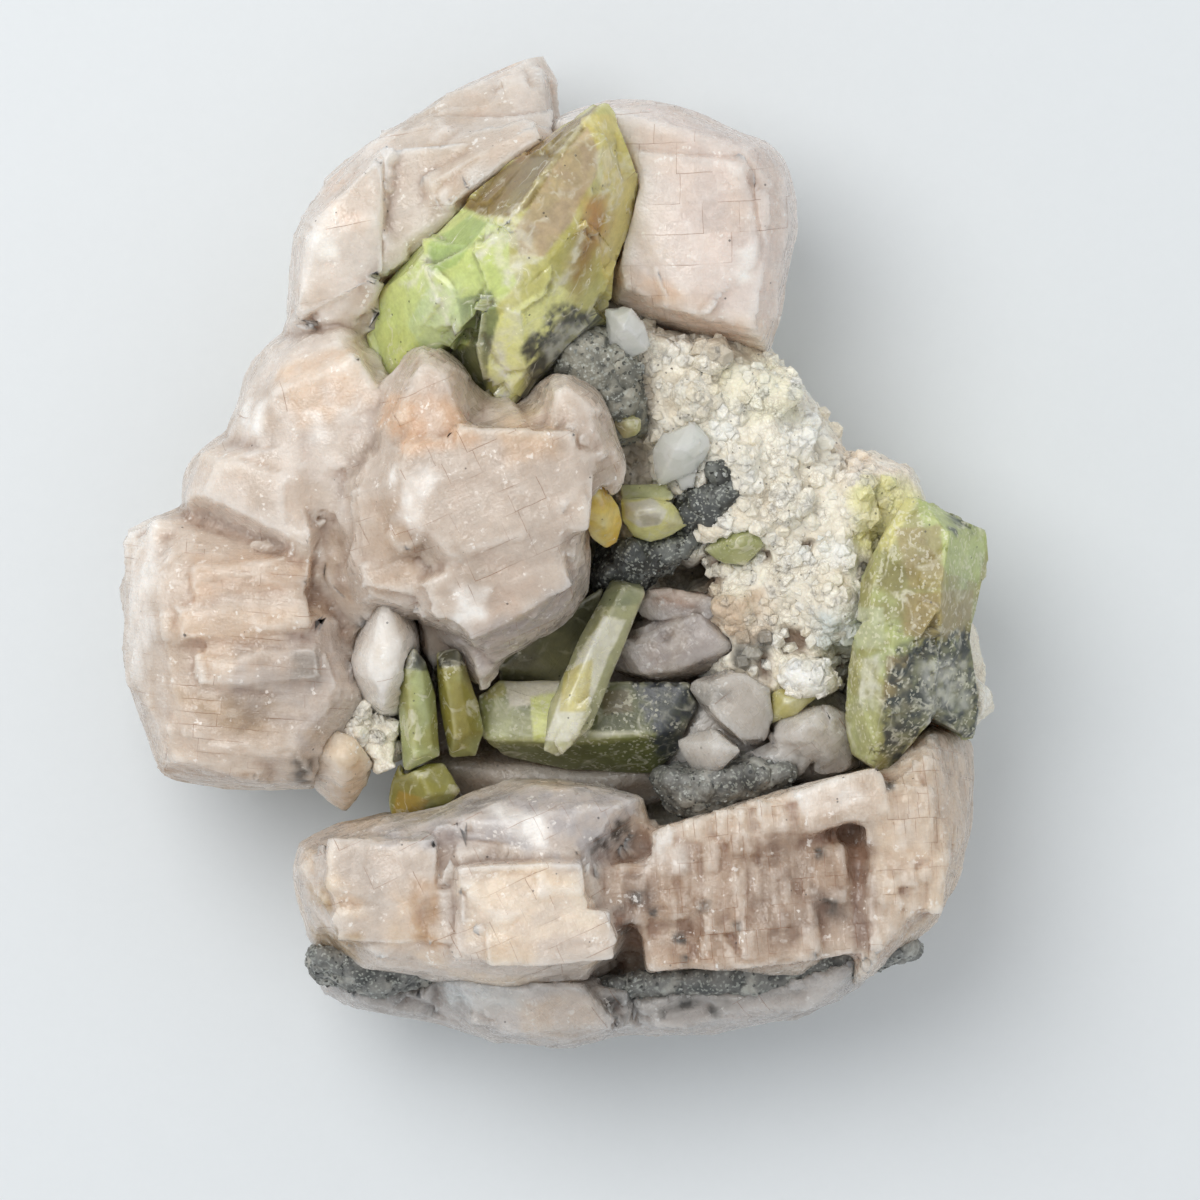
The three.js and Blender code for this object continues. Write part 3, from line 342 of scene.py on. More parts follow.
def bricks(points, turn, size, seed, tilt=0.5):
    """A height of about -0.5 to 0.5: each brick of the crystal stands and leans its own way"""
    local = points @ directions(turn)
    wander = np.stack([rough_noise(points, 9, seed + k) for k in range(3)], axis=1)
    grid = (local + 0.5 * wander) / np.array(size)
    grid[:, 0] += cell_number(np.floor(grid[:, [1, 1, 2]]), seed + 9)
    cell = np.floor(grid)
    lean = np.stack([cell_number(cell, seed + k) for k in (6, 7, 8)], axis=1) - 0.5
    leaning = ((grid - cell - 0.5) * lean).sum(axis=1)
    return cell_number(cell, seed + 5) - 0.5 + tilt * leaning


def chiselled(points, normals, turn, size, seed):
    """How each place moves to lie in one flat facet with the places around it, as a table"""
    axes = directions(turn)
    facing = normals @ axes
    side = np.abs(facing).argmax(axis=1)
    side = side + 3 * (facing[np.arange(len(side)), side] > 0)
    wander = np.stack([noise(points, 4, seed + k) for k in (3, 4, 5)], axis=1)
    _, cell = random_cells(points @ axes + 0.5 * wander, size, seed)
    _, facet = np.unique(cell_number(cell, seed) + side, return_inverse=True)
    count = np.bincount(facet)
    away = np.stack([axis - (np.bincount(facet, axis) / count)[facet] for axis in points.T], axis=1)
    spread = [[np.bincount(facet, away[:, i] * away[:, j]) for j in range(3)] for i in range(3)]
    upright = np.linalg.eigh(np.moveaxis(np.array(spread), 2, 0))[1][:, :, 0][facet]
    return -(away * upright).sum(axis=1, keepdims=True) * upright


heights = bricks(sample, (6, 8, 25), (3.0, 2.4, 2.6), 1)
print("bricks stand from", heights.min().round(2), "to", heights.max().round(2))

# %% [markdown]
# ## Shader groups
#
# Several materials need the same effects, so each effect is a node group that is built once. They
# work in millimetres along the crystal's own directions, which the first group hands out.

# %% Nodes and arithmetic
def add(tree, kind, inputs=(), **settings):
    """A new node, with its settings and the values or links of its inputs"""
    node = tree.nodes.new(kind)
    for key, value in settings.items():
        setattr(node, key, value)
    for key, value in dict(inputs).items():
        if isinstance(value, bpy.types.NodeSocket):
            tree.links.new(value, node.inputs[key])
        else:
            node.inputs[key].default_value = value
    return node


def maths(tree, operation, *values, clamp=False):
    """The result of one step of arithmetic"""
    node = add(tree, "ShaderNodeMath", dict(enumerate(values)), operation=operation, use_clamp=clamp)
    return node.outputs[0]


def product(tree, first, *others, clamp=False):
    """The product of some values"""
    for other in others:
        first = maths(tree, "MULTIPLY", first, other, clamp=clamp)
    return first


def weighted(tree, *terms):
    """The sum of some values, each times its weight"""
    products = [maths(tree, "MULTIPLY", value, weight) for value, weight in terms]
    total = products[0]
    for term in products[1:]:
        total = maths(tree, "ADD", total, term)
    return total


print("helpers:", ", ".join(helper.__name__ for helper in (add, maths, product, weighted)))


# %% Vectors, ranges and noise
def vectors(tree, operation, *values):
    """The result of one step of arithmetic with vectors"""
    return add(tree, "ShaderNodeVectorMath", dict(enumerate(values)), operation=operation).outputs[0]


def times(tree, vector, factor):
    """A vector or a colour times a number"""
    return add(tree, "ShaderNodeVectorMath", {0: vector, "Scale": factor}, operation="SCALE").outputs[0]


def parts(tree, vector):
    """The three numbers of a vector or a colour"""
    return add(tree, "ShaderNodeSeparateXYZ", {0: vector}).outputs


def ranged(tree, value, low, high, start=0.0, end=1.0):
    """The value, stretched from start..end to low..high"""
    inputs = {"Value": value, "From Min": start, "From Max": end, "To Min": low, "To Max": high}
    return add(tree, "ShaderNodeMapRange", inputs).outputs[0]


def clouds(tree, place, scale, detail, **others):
    """Smooth noise that swings about `scale` times a millimetre, as a number and as a colour"""
    inputs = {"Vector": place, "Scale": scale, "Detail": detail, **others}
    outputs = add(tree, "ShaderNodeTexNoise", inputs).outputs
    return outputs["Fac"], outputs["Color"]


print("helpers:", ", ".join(helper.__name__ for helper in (vectors, times, parts, ranged, clouds)))


# %% [markdown]
# ### Groups with named inputs and outputs
#
# A node group is to a shader what a function is to a program. Its inputs and outputs have names, so a
# material that uses it says what it wants and doesn't need to know how the effect is made.

# %% Making a group
def effect(name, inputs, outputs):
    """A group with named inputs and outputs, given as (name, kind, start value), and its inputs"""
    group = bpy.data.node_groups.new(name, "ShaderNodeTree")
    for label, kind, value in inputs:
        socket = group.interface.new_socket(label, in_out="INPUT", socket_type="NodeSocket" + kind)
        socket.default_value = value
    for label, kind in outputs:
        group.interface.new_socket(label, in_out="OUTPUT", socket_type="NodeSocket" + kind)
    return group, group.nodes.new("NodeGroupInput").outputs


def hand_out(group, **results):
    """Links the results to the group's outputs of the same names"""
    end = group.nodes.new("NodeGroupOutput")
    for label, result in results.items():
        group.links.new(result, end.inputs[label])
    print("group:", group.name, "with", len(group.nodes), "nodes")


print("helpers:", effect.__name__, "and", hand_out.__name__)

# %% [markdown]
# ### A crystal's own directions
#
# Cracks, growth lines and steps all follow the directions in which a crystal has grown. The mesh could
# be unwrapped and the pattern turned on it, but a place in space that is turned by three angles does
# the same for every side at once. A little noise bends the lines, because no real crystal is perfect.

# %% The crystal's own directions, in millimetres
AXES, given = effect(
    "Crystal directions",
    [("Turn", "Vector", (0, 0, 0)), ("Wander", "Float", 0.4)],
    [("Place", "Vector")],
)
millimetres = times(AXES, add(AXES, "ShaderNodeTexCoord").outputs["Object"], 1 / MM)
drift = vectors(AXES, "SUBTRACT", clouds(AXES, millimetres, 0.3, 2.0)[1], (0.5, 0.5, 0.5))
wandered = vectors(AXES, "ADD", millimetres, times(AXES, drift, given["Wander"]))
turned = add(
    AXES, "ShaderNodeVectorRotate", {"Vector": wandered, "Rotation": given["Turn"]},
    rotation_type="EULER_XYZ", invert=True,
)
hand_out(AXES, Place=turned.outputs[0])

# %% [markdown]
# ### Cleavage
#
# Cleavage shows far below the size of the mesh: bricks a millimetre or so wide that differ a little
# in brightness and lean a little, and thin brown lines on some of their borders. The group cuts
# space into bricks in three directions. Each brick gets a random tone and a random slope. A line
# shows near some of the upright borders only, because a crack stops and starts, and because the flat
# borders would draw loops on a face that is nearly level.

# %% The cleavage group
CLEAVAGE, given = effect(
    "Cleavage",
    [
        ("Place", "Vector", (0, 0, 0)), ("Brick", "Vector", (2.4, 3.2, 2.4)),
        ("Line width", "Float", 0.12), ("Line share", "Float", 0.4),
    ],
    [("Line", "Float"), ("Tone", "Float"), ("Slope", "Float")],
)
axis = parts(CLEAVAGE, vectors(CLEAVAGE, "DIVIDE", given["Place"], given["Brick"]))
course = [maths(CLEAVAGE, "FLOOR", axis[k]) for k in (1, 2)]
courses = add(CLEAVAGE, "ShaderNodeCombineXYZ", dict(enumerate(course))).outputs[0]
slide = add(CLEAVAGE, "ShaderNodeTexWhiteNoise", {"Vector": courses}).outputs["Value"]
along = [maths(CLEAVAGE, "ADD", axis[0], slide), axis[1], axis[2]]
brick = [maths(CLEAVAGE, "FLOOR", value) for value in along]
inside = [maths(CLEAVAGE, "SUBTRACT", value, whole) for value, whole in zip(along, brick)]
brick_number = add(CLEAVAGE, "ShaderNodeCombineXYZ", dict(enumerate(brick))).outputs[0]
chance = add(CLEAVAGE, "ShaderNodeTexWhiteNoise", {"Vector": brick_number}).outputs
tilts = parts(CLEAVAGE, chance["Color"])
widths = parts(CLEAVAGE, given["Brick"])
line, slope = 0.0, 0.0
for k in range(3):
    lean = maths(CLEAVAGE, "SUBTRACT", tilts[k], 0.5)
    centred = maths(CLEAVAGE, "SUBTRACT", inside[k], 0.5)
    slope = maths(CLEAVAGE, "ADD", slope, product(CLEAVAGE, lean, centred))
for k in range(2):
    from_border = product(CLEAVAGE, inside[k], widths[k])
    thin = ranged(CLEAVAGE, from_border, 1.0, 0.0, 0.0, given["Line width"])
    shows = maths(CLEAVAGE, "LESS_THAN", tilts[k], given["Line share"])
    line = maths(CLEAVAGE, "MAXIMUM", line, product(CLEAVAGE, thin, shows))
hand_out(CLEAVAGE, Line=line, Tone=chance["Value"], Slope=slope)

# %% [markdown]
# ### Mottling
#
# No crystal has one even colour. This group takes a colour and lets it drift lighter and darker at
# three sizes: clouds a few millimetres across, curdled milk at about one millimetre and specks of a
# third of a millimetre. It also marks a few dark dots of dirt.

# %% The mottling group
DOTS_A_MILLIMETRE = 1.4  # how closely the places lie where a dot may be
DOT_SIZE = 0.17
DOT_DARKNESS = 0.6

MOTTLE, given = effect(
    "Mottling",
    [
        ("Place", "Vector", (0, 0, 0)), ("Colour", "Color", (0.8, 0.8, 0.8, 1)),
        ("Strength", "Float", 0.2), ("Dot share", "Float", 0.02),
    ],
    [("Colour", "Color"), ("Speck", "Float")],
)
cloud, curd, speck = [
    clouds(MOTTLE, given["Place"], scale, detail)[0] for scale, detail in ((0.3, 4.0), (1.1, 4.0), (3.2, 2.0))
]
total = weighted(MOTTLE, (cloud, 1.0), (curd, 1.0), (speck, 0.5))
swing = product(MOTTLE, maths(MOTTLE, "SUBTRACT", total, 1.25), given["Strength"])  # 1.25 is its middle
dots = add(MOTTLE, "ShaderNodeTexVoronoi", {"Vector": given["Place"], "Scale": DOTS_A_MILLIMETRE}).outputs
is_dot = product(
    MOTTLE, maths(MOTTLE, "LESS_THAN", parts(MOTTLE, dots["Color"])[0], given["Dot share"]),
    maths(MOTTLE, "LESS_THAN", dots["Distance"], DOT_SIZE),
)
spared = maths(MOTTLE, "SUBTRACT", 1.0, product(MOTTLE, is_dot, DOT_DARKNESS))
gain = product(MOTTLE, maths(MOTTLE, "ADD", swing, 1.0), spared)
hand_out(MOTTLE, Colour=times(MOTTLE, given["Colour"], gain), Speck=speck)

# %% [markdown]
# ### Glints
#
# Tiny faces of chlorite, titanite and sugar-grained albite flash where they happen to face the light.
# The group marks a few small cells out of many; a material makes them smooth, or paints them a little paler
# as painted glints.

# %% The glints group
GLINTS, given = effect(
    "Glints",
    [("Place", "Vector", (0, 0, 0)), ("Size", "Float", 0.4), ("Share", "Float", 0.1)],
    [("Glint", "Float"), ("Tilt", "Float")],
)
fine = times(GLINTS, given["Place"], maths(GLINTS, "DIVIDE", 1.0, given["Size"]))
flakes = add(GLINTS, "ShaderNodeTexVoronoi", {"Vector": fine, "Scale": 1.0}).outputs
pick = parts(GLINTS, flakes["Color"])
hand_out(GLINTS, Glint=maths(GLINTS, "LESS_THAN", pick[0], given["Share"]), Tilt=pick[1])

# %% [markdown]
# ## The feldspar's finish
#
# Adularia is milky: light goes a millimetre or two into it and comes back out, which subsurface
# scattering gives. Its colour on each spot is stored on the mesh, because stains follow the shape,
# and the shader adds mottling, cracks and a pearly gloss that differs from plate to plate.

# %% Helpers that put a material together
def material_with(name, **values):
    """A new material, its node tree and its shader, with the shader's constant values set"""
    material = bpy.data.materials.new(name)
    material.use_nodes = True
    shader = material.node_tree.nodes["Principled BSDF"]
    for key, value in values.items():
        shader.inputs[key.replace("_", " ")].default_value = value
    return material, material.node_tree, shader


def use(tree, group, **inputs):
    """Puts a group in a material and returns the group's outputs"""
    labelled = {key.replace("_", " "): value for key, value in inputs.items()}
    return add(tree, "ShaderNodeGroup", labelled, node_tree=group).outputs


def place_in(tree, turn, wander=0.4):
    """Places along a crystal that is turned by these degrees"""
    return use(tree, AXES, Turn=[math.radians(a) for a in turn], Wander=wander)["Place"]


def mixed(tree, factor, first, second):
    """The first colour, with the second one over it by the factor"""
    node = add(tree, "ShaderNodeMix", {0: factor}, data_type="RGBA")
    for slot, colour in ((6, first), (7, second)):
        if isinstance(colour, bpy.types.NodeSocket):
            tree.links.new(colour, node.inputs[slot])
        else:
            node.inputs[slot].default_value = (*colour, 1)
    return node.outputs[2]


def bumped(tree, shader, height, depth):
    """Relief that is too fine for the mesh, `depth` millimetres high"""
    bump = add(tree, "ShaderNodeBump", {"Height": height, "Distance": depth * MM})
    tree.links.new(bump.outputs[0], shader.inputs["Normal"])


def stored_tint(tree):
    """The colour that is stored on the mesh"""
    return add(tree, "ShaderNodeAttribute", attribute_name="Tint").outputs["Color"]


print("groups to use in a material:", ", ".join(group.name for group in (AXES, CLEAVAGE, MOTTLE, GLINTS)))

# %% [markdown]
# ### Feldspar, from straight cracks to columns
#
# Adularia shows brown cracks where iron has seeped in, white glints where cleavage faces catch the
# light, and plates that catch the light one by one. All of that is finer than the mesh, so the material
# makes it from the groups: cracks change the colour, the glints are painted into the colour as thin
# white lines and flecks, and plates change the gloss and the relief. Six versions of one material
# cover the ways in which these crystals break.

# %% Feldspar material
CRACK_BROWN = paint("90603E")
# painted glints: the white of thin lines and flecks that stand for cleavage faces catching the light
GLINT_WHITE = paint("FFFBF6")
CRACK_STRENGTH = 0.85
GLINT_WHITE_STRENGTH = 0.6
SMALL_BRICK = 0.31  # side of the small bricks, as a share of the large ones


def feldspar(name, turn, brick=(2.4, 3.0, 2.6), lines=0.3, rough=0.26, lean=1.0, clear=0.0):
    """Milky feldspar; `lines` is the share of cracked borders and `lean` how far the plates lean"""
    material, tree, shader = material_with(
        name, Subsurface_Weight=0.9, Subsurface_Scale=0.005, Subsurface_Radius=(1.0, 0.94, 0.88),
        Transmission_Weight=clear, IOR=1.53,
    )
    place = place_in(tree, turn, wander=0.35)
    mottled = use(tree, MOTTLE, Place=place, Colour=stored_tint(tree), Strength=0.24, Dot_share=0.03)
    large = use(tree, CLEAVAGE, Place=place, Brick=brick, Line_width=0.08, Line_share=lines)
    small_brick = [SMALL_BRICK * side for side in brick]
    small = use(tree, CLEAVAGE, Place=place, Brick=small_brick, Line_width=0.05, Line_share=0.35)
    glint_fleck = use(tree, GLINTS, Place=place, Size=0.3, Share=0.12)["Glint"]
    broken = ranged(tree, clouds(tree, place, 0.2, 2.0)[0], 0.1, 1.0, 0.44, 0.6)
    glint_zone = ranged(tree, clouds(tree, place, 0.6, 4.0)[0], 0.0, 1.0, 0.55, 0.66)
    crack = product(tree, large["Line"], broken)
    # painted glints: white lines and flecks, in the glinting zones only, are painted into the colour
    white = product(tree, maths(tree, "MAXIMUM", small["Line"], glint_fleck), glint_zone, GLINT_WHITE_STRENGTH)
    plain = times(tree, mottled["Colour"], ranged(tree, large["Tone"], 0.97, 1.03))
    colour = mixed(tree, white, plain, GLINT_WHITE)
    colour = mixed(tree, product(tree, crack, CRACK_STRENGTH), colour, CRACK_BROWN)
    tree.links.new(colour, shader.inputs["Base Color"])
    tree.links.new(ranged(tree, small["Tone"], rough - 0.14, rough + 0.16), shader.inputs["Roughness"])
    plates = weighted(
        tree, (large["Slope"], 0.6 * lean), (small["Slope"], 0.3 * lean), (large["Tone"], 0.16),
        (small["Tone"], product(tree, glint_zone, 0.14)),
    )
    relief = weighted(tree, (mottled["Speck"], 0.1), (plates, broken), (crack, -0.05))
    bumped(tree, shader, relief, 1.0)
    return material


FELDSPAR = {
    "straight": feldspar("Feldspar with straight cracks", (4, -6, 2), brick=(3.6, 3.0, 3.4), lines=0.55),
    "slanted": feldspar("Feldspar with slanted cracks", (6, 8, 25), brick=(3.2, 2.4, 2.8), lines=0.5),
    "smooth": feldspar("Smooth feldspar", (10, 5, 12), brick=(5.2, 3.4, 4.0), lines=0.16, lean=0.7),
    "layered": feldspar("Layered feldspar", (3, 6, -4), brick=(5.0, 1.3, 3.0), lines=0.5, lean=0.9),
    "columns": feldspar("Columnar feldspar", (-8, 6, 4), brick=(1.1, 2.4, 1.9), lines=0.65, lean=1.0),
    "grey": feldspar("Grey feldspar", (14, -9, 33), brick=(2.2, 2.8, 2.4), lines=0.2, rough=0.2, clear=0.2),
}
print("feldspars:", ", ".join(FELDSPAR))

# %% [markdown]
# ## Colours on a skin
#
# The colour of a piece follows its shape: its hollows are painted darker, as shade together with
# rust and dirt, its edges paler, as a highlight together with wear, and coatings have outlines of their
# own. So the colour is worked out for each corner of the mesh and stored under the name "Tint", where
# the shader picks it up. A patch is a colour, how strong it is, and its outline on the plan; its edge
# wanders with noise.

# %% Work out and store colours
# a painted highlight together with wear: edges are made paler towards this colour
EDGE_HIGHLIGHT = paint("FBF7F2")


def towards(colours, other, amount):
    """Moves a table of colours towards another colour, by 0 to 1 for each corner"""
    return colours + (np.asarray(other) - colours) * np.reshape(amount, (-1, 1))


def natural_tint(points, codes, seed, size=5.0):
    """The first colour, drifting into the others in clouds about `size` millimetres wide"""
    first, *others = [paint(code) for code in codes]
    colours = np.tile(first, (len(points), 1))
    for k, other in enumerate(others):
        drift = rough_noise(points, size, seed + 11 * k)
        colours = towards(colours, other, ease(drift, -0.05, 0.45))
    return colours


def with_patches(colours, points, patches, seed, wander=1.1, soft=0.7, mottle=0.5, spots=1.5):
    """Adds the patches; `mottle` is how much of each is eaten away in spots of `spots` millimetres"""
    places = wandering(points, wander, 2.5, seed)
    for k, (code, strength, outline) in enumerate(patches):
        eaten = mottle * ease(rough_noise(points, spots, seed + k), -0.25, 0.35)
        colours = towards(colours, paint(code), strength * (1 - eaten) * within(places, outline, soft))
    return colours


def with_hollow_shade_and_edge_light(colours, mesh, code, strength, deep=0.25, edge_light=0.0):
    """Darkens the hollows towards a colour, strongest from `deep` millimetres on, as painted shade together
    with stain, and makes the edges paler, as a painted highlight together with wear
    """
    hollow = hollowness(mesh, 6)
    colours = towards(colours, EDGE_HIGHLIGHT, edge_light * ease(-hollow, 0.02, 0.12))
    return towards(colours, paint(code), strength * ease(hollow, 0.03, deep))


def store_tint(mesh, colours):
    """Stores one colour for each corner under the name that the shaders look for"""
    tint = mesh.color_attributes.new("Tint", "FLOAT_COLOR", "POINT")
    table = np.ones((len(colours), 4), np.float32)
    table[:, :3] = np.clip(colours, 0, 1)
    tint.data.foreach_set("color", table.ravel())


print("a tint between white and brown:", natural_tint(sample[:1], ("FFFFFF", "90603E"), 1).round(2))

# %% [markdown]
# ## Handing over a piece
#
# A finished piece is thinned out: corners go where the surface is flat and stay where it is rough.
# It is scaled from millimetres to metres, hangs under the body that it rides on, and the solids that
# it stands for are hidden.

# %% Thin out and hand over
TRIANGLES = {}  # of each finished piece


def triangles_of(mesh):
    """How many triangles a mesh has"""
    mesh.calc_loop_triangles()
    return len(mesh.loop_triangles)


def slimmed(piece, most):
    """Merges corners where the surface is flattest, until at most that many triangles are left"""
    full = piece.data
    modifier = piece.modifiers.new("Slim", "DECIMATE")
    modifier.ratio = min(1, most / triangles_of(full))
    depsgraph = bpy.context.evaluated_depsgraph_get()
    piece.data = bpy.data.meshes.new_from_object(piece.evaluated_get(depsgraph))
    piece.modifiers.clear()
    bpy.data.meshes.remove(full)


def keep(piece, materials, nodes=(), smooth=True, most=0):
    """Scales a finished piece to metres, gives it its materials, hangs it under its body and hides the solids
    that it stands for
    """
    for material in materials:
        piece.data.materials.append(material)
    if most:
        slimmed(piece, most)
    piece.data.transform(Matrix.Scale(MM, 4))
    TRIANGLES[piece.name] = triangles_of(piece.data)
    if smooth:
        piece.data.shade_smooth()
    else:
        piece.data.shade_flat()
    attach(piece, "root")
    if nodes:
        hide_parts(*nodes)
    print(f"{piece.name}: {TRIANGLES[piece.name]} triangles")
    return piece


# %% [markdown]
# ## The feldspar crystals
#
# Twelve blocky crystals of adularia make up most of the specimen. They are one material with one
# way of breaking, so one recipe makes them all. What differs is written down for each crystal: its
# turn, its way of breaking, its colours, its patches and its dark dots. Where crystals share a skin,
# each place follows the recipe of the crystal that it lies nearest to, and the recipes fade into each
# other.

# %% What each feldspar crystal is like
PINK = "DFCBBB"
PEACH = "DDBFA0"
ASH = "BBB0A7"
# painted highlights: white patches where cleavage faces catch the light
HIGHLIGHT_WHITE = "F7F3EE"
# rust and painted shade: the hollows of the feldspar are darkened towards this colour
RUST_AND_SHADE = "94705A"
SOOT = "3C3A36"  # of the dark dots, which are given as the x, y and size of a square

